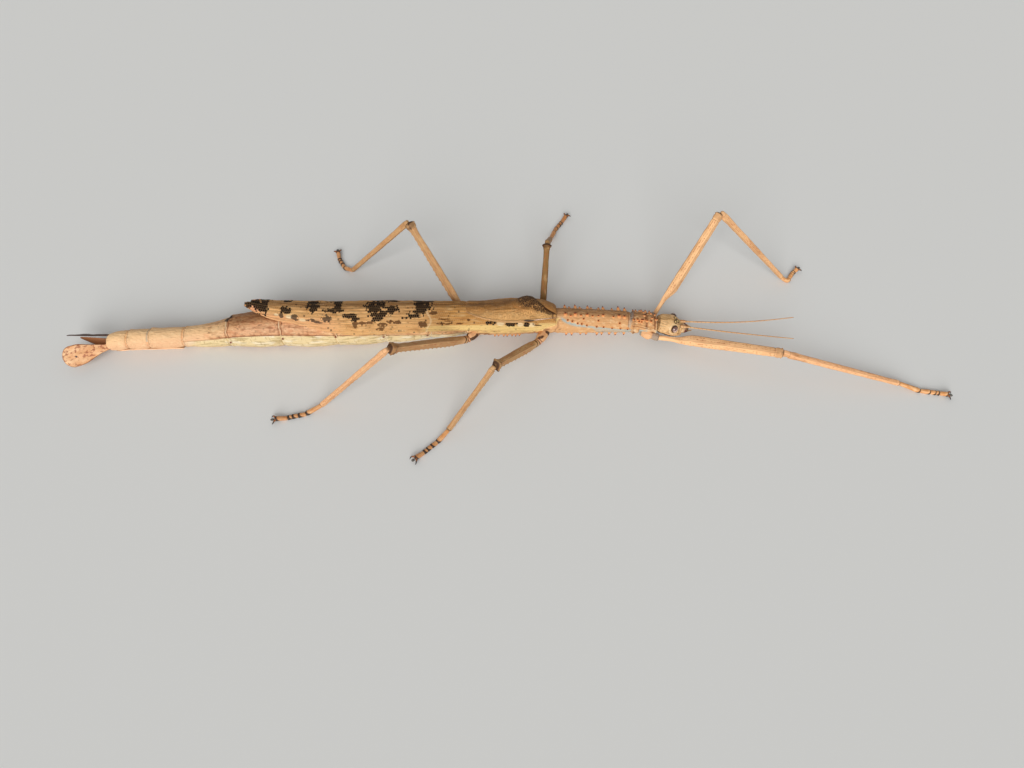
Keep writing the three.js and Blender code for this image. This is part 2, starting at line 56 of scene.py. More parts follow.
MM = 0.001
NECK_X = 35.2                  # front edge of the first plate; x = 0 is at the middle legs
STAND_BACK = 0.07              # how far each solid stands back from its joint
PLATE_LENGTHS = np.array([8.0, 28.8, 20.7, 10.7, 13.3, 14.3, 16.1, 16.3, 13.6, 9.8, 6.1, 6.9])
PLATE_RADII = np.array([        # at the front, middle and rear of each plate
    [2.8, 3.15, 3.1], [3.2, 3.6, 3.75], [3.8, 4.25, 4.1], [4.1, 4.5, 4.9],
    [4.85, 5.3, 5.55], [5.5, 5.75, 5.75], [5.7, 5.8, 5.7], [5.65, 5.4, 4.7],
    [4.5, 3.55, 3.15], [3.05, 3.0, 3.05], [2.95, 2.9, 2.85], [2.75, 2.75, 2.05]])
JOINTS = NECK_X - np.cumsum(PLATE_LENGTHS)
FRONTS = JOINTS + PLATE_LENGTHS
WIDER, FLATTER = 1.03, 0.97    # half width and half height of the trunk over its radius
STATION_STEP = 0.27            # between the rings of the skin

thorax_low, thorax_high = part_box("metathorax")
ORIGIN = np.array([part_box("pronotum")[1].x / MM - (NECK_X - STAND_BACK),
                   (thorax_low.y + thorax_high.y) / 2 / MM, 0.0])


def smooth(t):
    """Rises from 0 to 1 with level ends: 3t^2 - 2t^3 of t held between 0 and 1."""
    t = np.clip(t, 0, 1)
    return t * t * (3 - 2 * t)


def past(value, edge, over):
    """0 up to an edge, then a smooth rise to 1 while the value goes on by over."""
    return smooth((value - edge) / over)


def before(value, edge, over):
    """0 past an edge, and a smooth rise to 1 while the value goes back from it by over."""
    return smooth((edge - value) / over)


def between(value, low, over_low, high, over_high):
    """1 well between two edges: the rise past the low one times that before the high one."""
    return past(value, low, over_low) * before(value, high, over_high)


def bell(distance, width):
    """1 at no distance, falling off as exp(-(distance / width)^2)."""
    return np.exp(-(distance / width) ** 2)


def blunt(distance, reach):
    """Rounds off an end: a quarter ellipse that rises from nearly 0 to 1 over its reach."""
    return np.sqrt(1 - (1 - np.clip(distance / reach, 0.01, 1)) ** 2)


def through(knots):
    """A curve through [place, value] knots: on each span the cubic whose end slopes are
    those of the chords between each knot's two neighbours."""
    place, value = np.array(sorted(knots), float).T
    ahead = np.minimum(np.arange(len(place)) + 1, len(place) - 1)
    behind = np.maximum(np.arange(len(place)) - 1, 0)
    slope = (value[ahead] - value[behind]) / (place[ahead] - place[behind])

    def curve(at):
        """The value at each place, level beyond the end knots."""
        i = np.clip(np.searchsorted(place, at, side="right") - 1, 0, len(place) - 2)
        step = place[i + 1] - place[i]
        t = np.clip((at - place[i]) / step, 0, 1)
        level = value[i] * (1 + 2 * t) * (1 - t) ** 2 + value[i + 1] * t * t * (3 - 2 * t)
        return level + step * (slope[i] * t * (1 - t) ** 2 - slope[i + 1] * t * t * (1 - t))

    return curve


def wander(u, v, seed, period=256):
    """Random relief between -1 and 1 with one hump per unit of u and v: seeded heights
    on a square lattice, joined by the smooth step. It repeats in v after period units."""
    height = np.random.default_rng(seed).uniform(-1, 1, (256, period))
    row, column = np.floor(u).astype(int), np.floor(v).astype(int)
    across, up = smooth(u - row), smooth(v - column)

    def corner(i, j):
        """The height at one corner of each square."""
        return height[(row + i) % 256, (column + j) % period]

    return ((corner(0, 0) * (1 - across) + corner(1, 0) * across) * (1 - up)
            + (corner(0, 1) * (1 - across) + corner(1, 1) * across) * up)


spine_y = through([            # how far the middle of the trunk lies to the left, by x
    [46, -2.5], [36, -0.8], [24, 0], [-32, 0], [-60, -1.6], [-90, -2.5], [-107, -4.4], [-130, -7.1]])
lean = through([               # degrees that the middle of the back leans to the left, by x
    [36, 4], [33.5, 13], [30, 18], [25, 20], [10, 23], [-30, 22], [-70, 18], [-100, 8], [-126, 0]])


def clearance(x):
    """Height of the belly over the floor: 2.6 under thorax and tail, pressed 0.12 into the
    floor between them, with the metathorax hanging 0.7 lower than its neighbours."""
    return 2.6 * past(x, -45, 32) + 2.6 * before(x, -92, 36) - 0.12 - 0.7 * bell(x + 11, 8)


def along_plate(x):
    """The number of the plate at x, and how far along it x is, from 0 in front to 1."""
    i = np.clip(np.searchsorted(-FRONTS, -x, side="right") - 1, 0, len(FRONTS) - 1)
    return i, (FRONTS[i] - x) / PLATE_LENGTHS[i]


def trunk_radius(x):
    """Within a plate, the parabola through its three radii."""
    i, t = along_plate(x)
    t = np.clip(t, 0, 1)
    front, middle, rear = np.moveaxis(PLATE_RADII[i], -1, 0)
    return front * (1 - t) * (1 - 2 * t) + 4 * middle * t * (1 - t) + rear * t * (2 * t - 1)


def on_trunk(x, angle, above=0.0, shrink=1.0):
    """A point of the trunk's ellipse at x: angle 0 is up and a quarter turn is the right
    side; above is its height over the skin, and nothing is below the floor."""
    r = trunk_radius(x)
    y = spine_y(x) - (r * WIDER * shrink + above) * np.sin(angle)
    z = clearance(x) + r * FLATTER + (r * FLATTER * shrink + above) * np.cos(angle)
    return np.stack([x, y, np.maximum(z, 0)], -1)


def eased(front, rear, count):
    """Places from front to rear that lie four times closer at both ends: even steps less
    three quarters of a sine wave."""
    t = np.linspace(0, 1, count)
    return front + (rear - front) * (t - 0.75 * np.sin(2 * np.pi * t) / (2 * np.pi))


def full_turn(count, start=0.0):
    """Angles all the way round from start, without the last, which is the first again."""
    return np.linspace(start, start + 2 * np.pi, count, endpoint=False)


def grid(rows, columns):
    """Two arrays that hold, at each point of a grid, its row's value and its column's."""
    return np.meshgrid(rows, columns, indexing="ij")


def shell(rings, **marks):
    """A closed skin over rings of points: quads between rings and a fan over each end.
    Marks are values or vectors, for each point, ring or all; a fan's middle takes the
    mean of its ring."""
    rows, around = rings.shape[:2]
    k = np.arange(around)
    follow = (k + 1) % around
    row = np.arange(rows - 1)[:, None] * around
    quads = np.stack([row + k, row + follow, row + around + follow, row + around + k], -1)
    last = (rows - 1) * around
    front_fan = np.stack([follow, k, np.full(around, rows * around)], -1)
    rear_fan = np.stack([last + k, last + follow, np.full(around, rows * around + 1)], -1)

    def flat(values):
        """One row of values for each point: ring by ring, then the means of the two end rings."""
        values = np.asarray(values, float)
        values = np.broadcast_to(values, (rows, around) + values.shape[2:]).reshape(rows, around, -1)
        return np.concatenate([values.reshape(rows * around, -1), values[[0, -1]].mean(axis=1)])

    points, quads = flat(rings), quads.reshape(-1, 4)
    triangles = np.concatenate([quads[:, [0, 1, 2]], quads[:, [0, 2, 3]], front_fan, rear_fan])
    a, b, c = points[triangles].transpose(1, 0, 2)
    faces = [quads, front_fan, rear_fan]
    if (a * np.cross(b, c)).sum() < 0:
        faces = [group[:, ::-1] for group in faces]
    return points, faces, {name: flat(values) for name, values in marks.items()}


def piece(name, shells, material, replaced):
    """One object made of shells, whose marks become attributes of its points. Shells are
    in millimetres from the middle legs, and the object is in metres in the part's frame."""
    start = np.cumsum([0] + [len(points) for points, _, _ in shells])
    faces = [face for (_, groups, _), first in zip(shells, start)
             for group in groups for face in (group + first).tolist()]
    mesh = bpy.data.meshes.new(name)
    mesh.from_pydata((np.concatenate([s[0] for s in shells]) + ORIGIN) * MM, [], faces)
    for label in shells[0][2]:
        values = np.concatenate([s[2][label] for s in shells]).astype(np.float32)
        vector = values.shape[1] == 3
        attribute = mesh.attributes.new(label, "FLOAT_VECTOR" if vector else "FLOAT", "POINT")
        attribute.data.foreach_set("vector" if vector else "value", values.ravel())
    mesh.polygons.foreach_set("use_smooth", np.ones(len(mesh.polygons), bool))
    mesh.materials.append(material)
    made = bpy.data.objects.new(name, mesh)
    bpy.context.scene.collection.objects.link(made)
    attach(made, "root")
    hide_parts(*replaced)
    return made


def linear(colour):
    """An sRGB hex colour as linear red, green, blue and alpha."""
    srgb = np.array([int(colour[i:i + 2], 16) for i in (1, 3, 5)]) / 255
    rgb = np.where(srgb <= 0.04045, srgb / 12.92, ((srgb + 0.055) / 1.055) ** 2.4)
    return (*rgb.tolist(), 1.0)


def new_material(name):
    """A material that its nodes make up, so far one Principled BSDF."""
    material = bpy.data.materials.new(name)
    material.use_nodes = True
    return material


def node(material, kind, inputs=None, **settings):
    """Adds a shader node. Settings are its own properties; inputs gives a socket, by name
    or number, either a value or another node's output."""
    made = material.node_tree.nodes.new("ShaderNode" + kind)
    for label, value in settings.items():
        setattr(made, label, value)
    for label, value in (inputs or {}).items():
        if isinstance(value, bpy.types.NodeSocket):
            material.node_tree.links.new(value, made.inputs[label])
        else:
            made.inputs[label].default_value = value
    return made


def pattern(material, what):
    """Where a coat lies. A name is a value that the mesh carries. A tuple is noise: the
    millimetres across its humps, how far they stretch on the laid-out piece, its detail,
    and a shift that sets it apart. A list is the product of its two patterns."""
    if isinstance(what, str):
        return node(material, "Attribute", attribute_name=what).outputs["Fac"]
    if isinstance(what, list):
        factors = {i: pattern(material, factor) for i, factor in enumerate(what)}
        return node(material, "Math", factors, operation="MULTIPLY").outputs[0]
    if isinstance(what, tuple):
        size, stretch, detail, shift = what + ((1, 1, 1), 3.0, 0.0)[len(what) - 1:]
        place = node(material, "Attribute", attribute_name="rest").outputs["Vector"]
        sized = node(material, "Mapping", {"Vector": place, "Location": (shift, shift, shift),
                                           "Scale": [1 / (size * s) for s in stretch]})
        made = node(material, "TexNoise", {"Vector": sized.outputs[0], "Scale": 1.0, "Detail": detail})
        return made.outputs["Fac"]
    return what


def coats(material, under, *rows):
    """Lays colours one over another. A row is a colour, where it lies, the pattern's
    values at which it begins and is full, and the share of it that then shows."""
    if isinstance(under, str):
        under = linear(under)
    for colour, what, *levels in rows:
        low, high, most = levels + [0, 1, 1][len(levels):]
        amount = node(material, "MapRange", {"Value": pattern(material, what), "From Min": low,
                                             "From Max": high, "To Max": most})
        mixed = node(material, "Mix", {0: amount.outputs[0], 6: under, 7: linear(colour)}, data_type="RGBA")
        under = mixed.outputs[2]
    return under


COAT_ROUGHNESS = 0.08          # of the wet-looking film, where there is one


def finish(material, colour, height, depth, roughness, specular=0.4, coated=0.0):
    """Ends a material: its colour, a bump of so many millimetres from height, and gloss."""
    shader = material.node_tree.nodes["Principled BSDF"]
    bump = node(material, "Bump", {"Height": pattern(material, height), "Distance": depth * MM,
                                   "Strength": 1.0})
    material.node_tree.links.new(colour, shader.inputs["Base Color"])
    material.node_tree.links.new(bump.outputs[0], shader.inputs["Normal"])
    for label, value in (("Roughness", roughness), ("Specular IOR Level", specular),
                         ("Coat Weight", coated), ("Coat Roughness", COAT_ROUGHNESS)):
        shader.inputs[label].default_value = value


# Where the marks of the skin lie, in degrees from the middle of the back.
flank_fold = through([         # the upper edge of the soft strip, by x
    [-20, 119], [-30, 114], [-42, 97], [-56, 87], [-71, 80], [-86, 73], [-101, 70], [-130, 72]])
side_stripe = through([        # the slanting groove along the mesothorax, by x
    [28, 112], [22, 104], [18.5, 98], [13.1, 87], [9.6, 78], [7.2, 62], [5.6, 46]])
BREATHING_HOLES = [[-92.2, 92], [-76.3, 89], [-60.7, 90], [-46.8, 101], [-33.9, 115]]      # x, degrees
HOLE_RADIUS = 0.42
FURROW_X = [31.45, 34.05]      # the two furrows across the first plate
FRONT_RIM_X, REAR_RIM_X = 34.6, 28.0
SIDE_KEEL, SIDE_KEEL_SLOPE, SIDE_KEEL_X = 78, 2.2, 31.5         # degrees, degrees per millimetre, x
COLLAR_X, COLLAR_RIM_X = 26.7, 35.0            # grey collars behind and before the first plate
YELLOW_TOP, YELLOW_BOTTOM, YELLOW_X = 44, 126, 5.9      # degrees, and x of its front edge on top
BLACK_CORNER = [-93.1, -24]    # x and degrees of a black spot on a joint of the tail
TAIL_X, TAIL_END_X = -98, -129.0       # between them the skin is thin, pale and smooth

stations = np.concatenate([eased(front, rear, int(length / STATION_STEP) + 6)[:-1]
                           for front, rear, length in zip(FRONTS, JOINTS, PLATE_LENGTHS)] + [[JOINTS[-1]]])
stations = np.clip(stations, JOINTS[-1] + STAND_BACK, NECK_X - STAND_BACK)
X, TURN = grid(stations, full_turn(120, -np.pi))
FROM_BACK = np.abs((np.degrees(TURN) + lean(X) + 180) % 360 - 180)
ARC = TURN / (2 * np.pi) + 0.5
plate_share = along_plate(X)[1]
past_joint = X - JOINTS[np.abs(X[..., None] - JOINTS).argmin(-1)]
ragged = 0.25 * wander(ARC * 40, X / 3, 8)
pebbles = wander(X / 0.8 + 3, ARC * 26, 17, 26)
puckers = wander(X / 0.75 + ARC * 20, ARC * 22, 16, 22)
netted = wander(X / 0.7, ARC * 40, 18, 40)

# The regions of the trunk, each 1 inside and 0 outside. Their edges are in millimetres
# along x and in degrees from the back, and each edge is followed by its softness.
pronotum = past(X, 27.0, 0.4)
mesothorax = between(X, -2, 2, 27.4, 0.4)
abdomen = before(X, -21.5, 1.5)
tail = before(X, TAIL_X + 2, 3)
in_fold = FROM_BACK - flank_fold(X)
strip = abdomen * between(in_fold, 0, 3, 75, 8) * past(X, -109, 8)
in_stripe = FROM_BACK - side_stripe(X)
stripe = mesothorax * past(X, 5.4, 1.2) * np.maximum(
    bell(in_stripe, 6.5 + 2.5 * before(X, 14, 6)),
    0.55 * past(in_stripe, 0, 5) * before(in_stripe, 60 * past(X, 14, 5), 6))
hole = sum(bell(np.hypot(X - x, (FROM_BACK - degrees) * np.radians(trunk_radius(X))), HOLE_RADIUS)
           for x, degrees in BREATHING_HOLES)
collar = (0.62 * bell(X - COLLAR_X + 0.012 * (FROM_BACK - 60), 0.62)
          + 0.6 * bell(X - COLLAR_RIM_X, 0.25))
leg_root = (between(X, -1, 2, 8.5, 2) * past(FROM_BACK, 92, 12)
            + between(X, -24, 1, -13, 3) * past(FROM_BACK, 112, 8))
side_gap = pronotum * past(FROM_BACK, 98, 5) * between(X, 29.3, 0.4, 32.0, 0.4)
side_keel = FROM_BACK - SIDE_KEEL - SIDE_KEEL_SLOPE * (X - SIDE_KEEL_X)       # degrees below it
yellow_edge = YELLOW_X - 0.022 * (FROM_BACK - YELLOW_TOP)

# Each plate bulges a little before its rear lip, and the soft joint behind it is pinched.
lip = through([[36, 0.12], [-23, 0.10], [-90, 0.14], [-107, 0.15], [-130, 0.13]])(X)
first_plate_relief = (
    0.20 * bell(X - REAR_RIM_X, 0.35) + 0.30 * bell(X - FRONT_RIM_X, 0.35)
    - 0.50 * bell(X - FURROW_X[0], 0.32) * before(FROM_BACK, 80, 10)
    - 0.30 * bell(X - FURROW_X[1], 0.22) * before(FROM_BACK, 70, 10)
    + 0.30 * bell(side_keel, 5) - 0.25 * bell(side_keel - 10, 5) - 0.14 * bell(FROM_BACK, 3) + 0.14 * pebbles)
abdomen_relief = (
    0.06 * bell(FROM_BACK, 3) - 0.16 * bell(in_fold, 2.2)
    + 0.45 * (np.sin(np.pi * plate_share) - 0.6) * past(FROM_BACK, 95, 25))
relief = (
    lip * (bell(past_joint - 0.55, 0.45) - 2.0 * bell(past_joint + 0.10, 0.22))
    + pronotum * first_plate_relief + abdomen * abdomen_relief + 0.14 * mesothorax * bell(FROM_BACK, 2.5)
    + 0.12 * hole - 0.18 * strip - 0.20 * stripe - 0.28 * collar - 0.35 * side_gap + 0.25 * leg_root * puckers
    + 0.09 * wander(X / 2.4, ARC * 11, 3, 11) + 0.04 * wander(X / 0.9, ARC * 30, 4, 30)
    + 0.06 * (pronotum + mesothorax) * wander(X / 1.2, ARC * 18, 5, 18)
    + 0.10 * strip * wander(X / 0.8, ARC * 9, 6, 9))
rounding = blunt(NECK_X - STAND_BACK - X, 0.7) * blunt(X - JOINTS[-1] - STAND_BACK, 1.5)
trunk = on_trunk(X, TURN, relief * rounding, rounding)

# How much of each colour the skin carries.
blond = through([[36, 0.25], [20, 0.3], [-10, 0.4], [-30, 0.6], [-60, 0.7], [-78, 0.3], [-92, 0.4],
                 [-95, 0.9], [-106, 0.95], [-128, 1.0]])
# Painted shade over the top of the back: how strong it is by x, then where it lies.
top_shade_by_x = through([[36, 0.5], [27, 0.6], [20, 0.65], [0, 0.7], [-20, 0.9], [-70, 0.9], [-90, 0.75],
                 [-95, 0.3], [-106, 0.05], [-130, 0.05]])
dusk = top_shade_by_x(X) * before(FROM_BACK, 44 + 5 * wander(X / 3, ARC * 5, 7, 5), 30)
lip_brown = (
    (1 - 0.3 * tail) * bell(past_joint - 0.30 + ragged, 0.2)
    + (0.7 - 0.65 * tail) * bell(past_joint + 0.65 + ragged, 0.25)
    + 1.2 * bell(in_fold + 0.5 + 2 * ragged, 2.0) * past(X, -108, 4)
    + 0.5 * between(X, -94, 2, -62, 8) * smooth(netted * 1.6 - 0.1))
first_plate_brown = (
    (1.3 * bell(X - FURROW_X[0] + 0.6 * ragged, 0.3) + 1.1 * bell(X - FURROW_X[1] + 0.5 * ragged, 0.24))
    * before(FROM_BACK, 88, 8)
    + 0.9 * bell(side_keel - 8 + 6 * ragged, 3.5) + bell(X - NECK_X, 0.16)
    + 0.75 * smooth(-pebbles * 1.6 - 0.25) * before(FROM_BACK, 74, 14)
    + 0.9 * past(FROM_BACK, 92, 10) * smooth(-pebbles * 1.5))
brown_edge = (
    abdomen * lip_brown + pronotum * first_plate_brown + bell(X - TAIL_END_X, 0.3)
    + 0.9 * leg_root * past(puckers, 0.1, 0.4) + 1.6 * collar * (X < 30) * before(FROM_BACK, 70, 30)
    + 0.9 * bell(X - COLLAR_X + 0.6, 0.14) + 0.7 * bell(X - COLLAR_X - 1.05, 0.14)
    + 0.8 * bell(X - yellow_edge - 1.5 * ragged, 0.25) * past(FROM_BACK, 50, 8))
broken_ridges = (0.55 * bell(side_keel, 3.5) * past(X, 28, 1) + 0.35 * bell(X - REAR_RIM_X - 0.2, 0.25)
                 + 0.4 * past(FROM_BACK, 82, 10))
ridges = pronotum * (0.45 * bell(X - FRONT_RIM_X, 0.3) + smooth(0.6 + pebbles) * broken_ridges)
pale_joint = ridges + (bell(past_joint + 0.18 + ragged - 0.012 * (FROM_BACK - 60), 0.12)
                       * before(X, -19, 3) * (1 - 0.75 * before(X, TAIL_X, 3)))
furrow = 0.45 * pronotum * before(FROM_BACK, 86, 8) * (
    bell(X - FURROW_X[0] + 0.6 * ragged, 0.28) + 0.8 * bell(X - FURROW_X[1] + 0.5 * ragged, 0.2))
to_spot = np.hypot(X - BLACK_CORNER[0], 0.08 * (np.degrees(TURN) - BLACK_CORNER[1]))
black_corner = bell(to_spot + ragged, 1.4)
rosy = (abdomen * bell(FROM_BACK - 56, 26) * bell(X + 80, 20)
        + 0.9 * past(X, -130, 3) * before(X, TAIL_X, 6) * bell(FROM_BACK - 100, 60))
yellow = (between(FROM_BACK, YELLOW_TOP, 8, YELLOW_BOTTOM, 8) * past(X, -22, 5)
          * before(X - 1.5 * ragged, yellow_edge - 0.11 * np.maximum(0, FROM_BACK - 76), 0.5))
grey = (stripe + 0.75 * collar + 0.6 * bell(X + 116.6, 0.25) * (FROM_BACK < 60) + 0.9 * side_gap
        + 0.5 * pronotum * bell(X - 31.6, 0.25) * past(FROM_BACK, 84, 6))

cuticle = new_material("dry cuticle")
# Dry insect cuticle with no shine: a matt tan skin that reddens where it is thin and
# bleaches to cream on the soft strip of the flank. Its stipple is drawn at 0.5 to 1 mm,
# coarser than the real pits, which are too fine to show.
skin = coats(
    cuticle, "#c98c55",
    ("#fccf98", "blond"),
    ("#eab48c", "rosy", 0, 1, 0.8),
    ("#d8875a", ["rough", (2.6, (1.6, 1, 1))], 0.50, 0.66, 0.4),
    ("#f2cb82", "yellow", 0, 1, 0.9),
    ("#fad9a8", (0.8, (1.8, 1, 1), 3.0, 9), 0.52, 0.68, 0.4),
    ("#a5683a", ["rough", (0.3, (9, 1, 1), 3.0, 6)], 0.50, 0.62, 0.35),      # fibres
    ("#8e5329", ["rough", (1.0, (3.2, 1, 1), 3.0, 5)], 0.53, 0.66, 0.55),    # stipple
    # painted shade over the top of the back
    ("#6a3d1d", "dusk", 0, 1, 0.72),
    ("#5f3518", ["rough", (0.55, (1.6, 1, 1), 3.0, 3)], 0.60, 0.70, 0.55))   # pits
cream = coats(
    cuticle, "#e9d09e",
    ("#f7e9cc", (1.5, (3, 1, 1), 3.0, 8), 0.50, 0.62, 0.7),
    ("#b59a68", (0.5, (8, 1, 1)), 0.50, 0.62, 0.7),
    ("#a98a5c", (0.7, (1, 1, 3), 3.0, 2), 0.58, 0.68, 0.5))
flanked = node(cuticle, "Mix", {0: pattern(cuticle, "strip"), 6: skin, 7: cream}, data_type="RGBA").outputs[2]
skin = coats(
    cuticle, flanked,
    ("#7c4222", "edge", 0.1, 1.0, 0.8),
    ("#f3dcb4", "joint", 0.2, 0.9, 0.9),
    ("#aeb7ae", "grey", 0.1, 0.9, 0.92),
    ("#7a2f14", "rust", 0.25, 0.7),
    ("#1d0f0a", "black", 0.3, 0.6, 0.9))
coarse, fine = pattern(cuticle, (1.0, (3, 1, 1), 5)), pattern(cuticle, (0.5, (1.5, 1, 1), 4))
wrinkles = node(cuticle, "Math", {0: coarse, 1: fine}, operation="ADD").outputs[0]
finish(cuticle, skin, wrinkles, 0.32, 0.6, 0.25)

piece("trunk_skin", [shell(
    trunk, rest=trunk, blond=blond(X), dusk=dusk, rosy=rosy, yellow=yellow, strip=strip,
    rough=1 - 0.32 * before(X, TAIL_X, 8) - 0.2 * past(X, -2, 3), edge=brown_edge * (1 - 0.8 * strip),
    joint=pale_joint, grey=grey, rust=hole, black=black_corner + furrow)],
    cuticle, ["pronotum", "mesothorax", "metathorax"] + [f"abdomen_{i}" for i in range(2, 11)])

# ------------------------------------------------------------- spines of the thorax
# Hollow cones of the same cuticle that grow out of the skin in rows along the back and
# flanks, orange at the foot and darkening to a hard red-brown point.

SPINE_ROWS = [                 # degrees from the back by x, then the x of each spine, and their height
    ([[34, 38], [28, 41]], [32.8, 31.8, 30.7, 29.9, 28.9, 28.0], 0.8),
    ([[35, 20], [30, 12]], [34.4, 33.2, 30.8], 0.5), ([[29, 52], [28, 50]], [30.2, 29.3, 28.2], 0.5),
    ([[26, 31], [7, 31]], [25.2, 23.3, 18.8, 14.0, 10.3, 7.4], 1.3),
    ([[26, 33], [7, 36]], [21.6, 17.3, 15.5, 12.0, 8.9], 0.65),
    ([[24, 66], [12, 50]], [23.5, 17.2, 12.6], 0.6),
    ([[26, 97], [20, 90], [13, 78], [7, 53]],
     [26.2, 23.9, 21.5, 18.6, 16.4, 13.6, 12.1, 10.7, 9.4, 7.9], 0.6),
    ([[26, 147], [7, 147]], [25.1, 22.8, 20.8, 18.6, 17.0, 13.7, 11.9, 9.6, 7.9], 0.8),
    ([[-6, 148], [-14, 148]], [-6.2, -7.6, -8.7, -10.1, -11.2, -12.6, -13.9], 0.6)]
SPINE_SIDES = 12
SPINE_SPREAD_X, SPINE_SPREAD_DEGREES = 0.25, 1.5        # how far a spine stands off its row
SPINE_SUNK = 0.15              # how deep its foot is in the skin


def unit(vector):
    """Vectors of the same direction, one long."""
    return vector / np.linalg.norm(vector, axis=-1, keepdims=True)


def spike(root, tip, radius):
    """A thorn from root to tip: its radius falls as 1 - t from the skin, with a flared
    foot that melts into it; t runs from root to tip. The floor cuts it off."""
    t = np.array([0, 0.06, 0.14, 0.24, 0.36, 0.5, 0.64, 0.78, 0.9, 0.97, 1.0])[:, None]
    around = full_turn(SPINE_SIDES)[:, None]
    along = unit(tip - root)
    side = unit(np.cross(along, [1.0, 0.2, 0.1]))
    ring = np.cos(around) * side + np.sin(around) * np.cross(along, side)
    r = radius * ((1 - t) ** 0.9 + 0.15 * np.exp(-t / 0.1)) + 0.03
    points = root + (tip - root) * t[..., None] + r[..., None] * ring
    points[..., 2] = np.maximum(points[..., 2], 0)
    return shell(points, rest=points, tip=t)


random = np.random.default_rng(7)
spikes = []
for knots, places, height in SPINE_ROWS:
    row_angle = through(knots)
    for side in (-1, 1):
        for place in places:
            x = np.array(place + random.uniform(-SPINE_SPREAD_X, SPINE_SPREAD_X))
            spread = random.uniform(-SPINE_SPREAD_DEGREES, SPINE_SPREAD_DEGREES)
            angle = np.radians(side * (row_angle(x) + spread) - lean(x))
            tall = height * random.uniform(0.8, 1.1)
            foot = on_trunk(x, angle, -SPINE_SUNK)
            spikes.append(spike(foot, on_trunk(x - 0.15 * tall, angle, tall), 0.33 + 0.26 * tall))

horny = new_material("horny spine")
# Hard tanned cuticle, orange at the foot and red-brown to the point, with a slight shine.
thorn = coats(
    horny, "#dfa26c",
    ("#eaa062", "tip", 0.12, 0.4),
    ("#b85c30", "tip", 0.5, 0.68),
    ("#521c0f", "tip", 0.64, 0.85))
finish(horny, thorn, (0.2,), 0.03, 0.42)
piece("thorax_spines", spikes, horny, [])

# ------------------------------------------------------------- head capsule
# One hard, finely wrinkled box of cuticle, pleated where it meets the neck. The eyes sit
# in raised sockets, three small simple eyes lie between them, and a seam crosses the face.

HEAD_BACK, HEAD_LENGTH = -0.6, 7.6
HEAD_YAW, HEAD_BOW = np.radians(-2), np.radians(13)     # turned a little right, looking down
HEAD_PLACE = np.array([NECK_X + 0.35, spine_y(NECK_X) - 0.1, 6.1])
EYE_RADIUS = 1.1
EYE = np.array([4.2, 2.35, 1.3])               # forward, left and up from the back of the head
SOCKET_RADIUS = 1.28           # of the raised ring; a dark line lies inside it
CHEEK = 100                    # degrees down from the top of the head
SIMPLE_EYES = [[4.25, 0.72], [4.2, -0.72], [5.1, 0.0]]
SIMPLE_EYE_RADIUS = 0.27
ANTENNA_ROOT = np.array([6.35, 0.95, 1.35])
MIRROR = (1, -1, 1)            # turns a place on the left side into the one on the right
HEAD_X = [-0.3, 1.0, 2.6, 4.2, 5.4, 6.6, 7.6]
head_width = through(zip(HEAD_X, [2.6, 2.95, 3.25, 3.3, 3.0, 2.45, 1.8]))          # half of it, by x
head_height = through(zip(HEAD_X, [2.45, 2.7, 2.95, 3.0, 2.7, 2.25, 1.65]))        # half of it
head_rise = through(zip(HEAD_X, [-0.05, 0, 0, -0.25, -0.5, -0.75, -0.95]))


def in_head(points):
    """Puts points given as forward, left and up in the head into place: a bow that tips
    the front down, a turn of the yaw about the vertical, then a move to the neck."""
    x, y, z = np.moveaxis(np.asarray(points, float), -1, 0)
    c, s = np.cos(HEAD_BOW), np.sin(HEAD_BOW)
    x, z = c * x + s * z, c * z - s * x
    c, s = np.cos(HEAD_YAW), np.sin(HEAD_YAW)
    return np.stack([c * x - s * y, s * x + c * y, z], -1) + HEAD_PLACE


def around_head(x, angle, above=0.0, shrink=1.0):
    """The head's ellipse at x, with angle 0 on top and a quarter turn at the left."""
    return np.stack([x, (head_width(x) * shrink + above) * np.sin(angle),
                     head_rise(x) + (head_height(x) * shrink + above) * np.cos(angle)], -1)


def away(points, place):
    """How far points are from a place."""
    return np.linalg.norm(points - place, axis=-1)


HX, HTURN = grid(eased(HEAD_BACK, HEAD_LENGTH + 0.05, 150), full_turn(144, -np.pi))
bare = around_head(HX, HTURN)
from_top = np.abs(np.degrees(HTURN))
to_eye = np.minimum(away(bare, EYE), away(bare, EYE * MIRROR))
to_root = np.minimum(away(bare, ANTENNA_ROOT), away(bare, ANTENNA_ROOT * MIRROR))
to_simple = np.min([np.hypot(bare[..., 0] - x, bare[..., 1] - y) + 9 * (bare[..., 2] < 0)
                    for x, y in SIMPLE_EYES], axis=0)
behind_eye = np.linalg.norm((bare - EYE * MIRROR) * (1, 1, 0.8) + (0.35, -0.1, 0.3), axis=-1)
pleats = bell(HX - 0.7, 0.9) * np.cos(HTURN * 24 + 1.5 * wander(HX, HTURN * 2 + 8, 12))
wrinkle = wander(HX / 1.5 + 0.3 * np.sin(HTURN * 3), HTURN * 6 + 20, 15)
face_seam = bell(HX - 6.0 + 0.5 * bell(from_top, 20), 0.14) * before(from_top, 95, 20)
cheek = bell(from_top - CHEEK, 7) * between(HX, 4.4, 0.8, 7.4, 0.5)
cheek_seam = bell(from_top - CHEEK - 14 + 5 * (HX - 5), 4) * past(HX, 3.2, 1)
brow = bell(from_top - 26 - 5 * (5 - HX), 5) * between(HX, 4.6, 0.5, 6.4, 0.6)
crown = bell(from_top, 3) * before(HX, 4.4, 0.5)
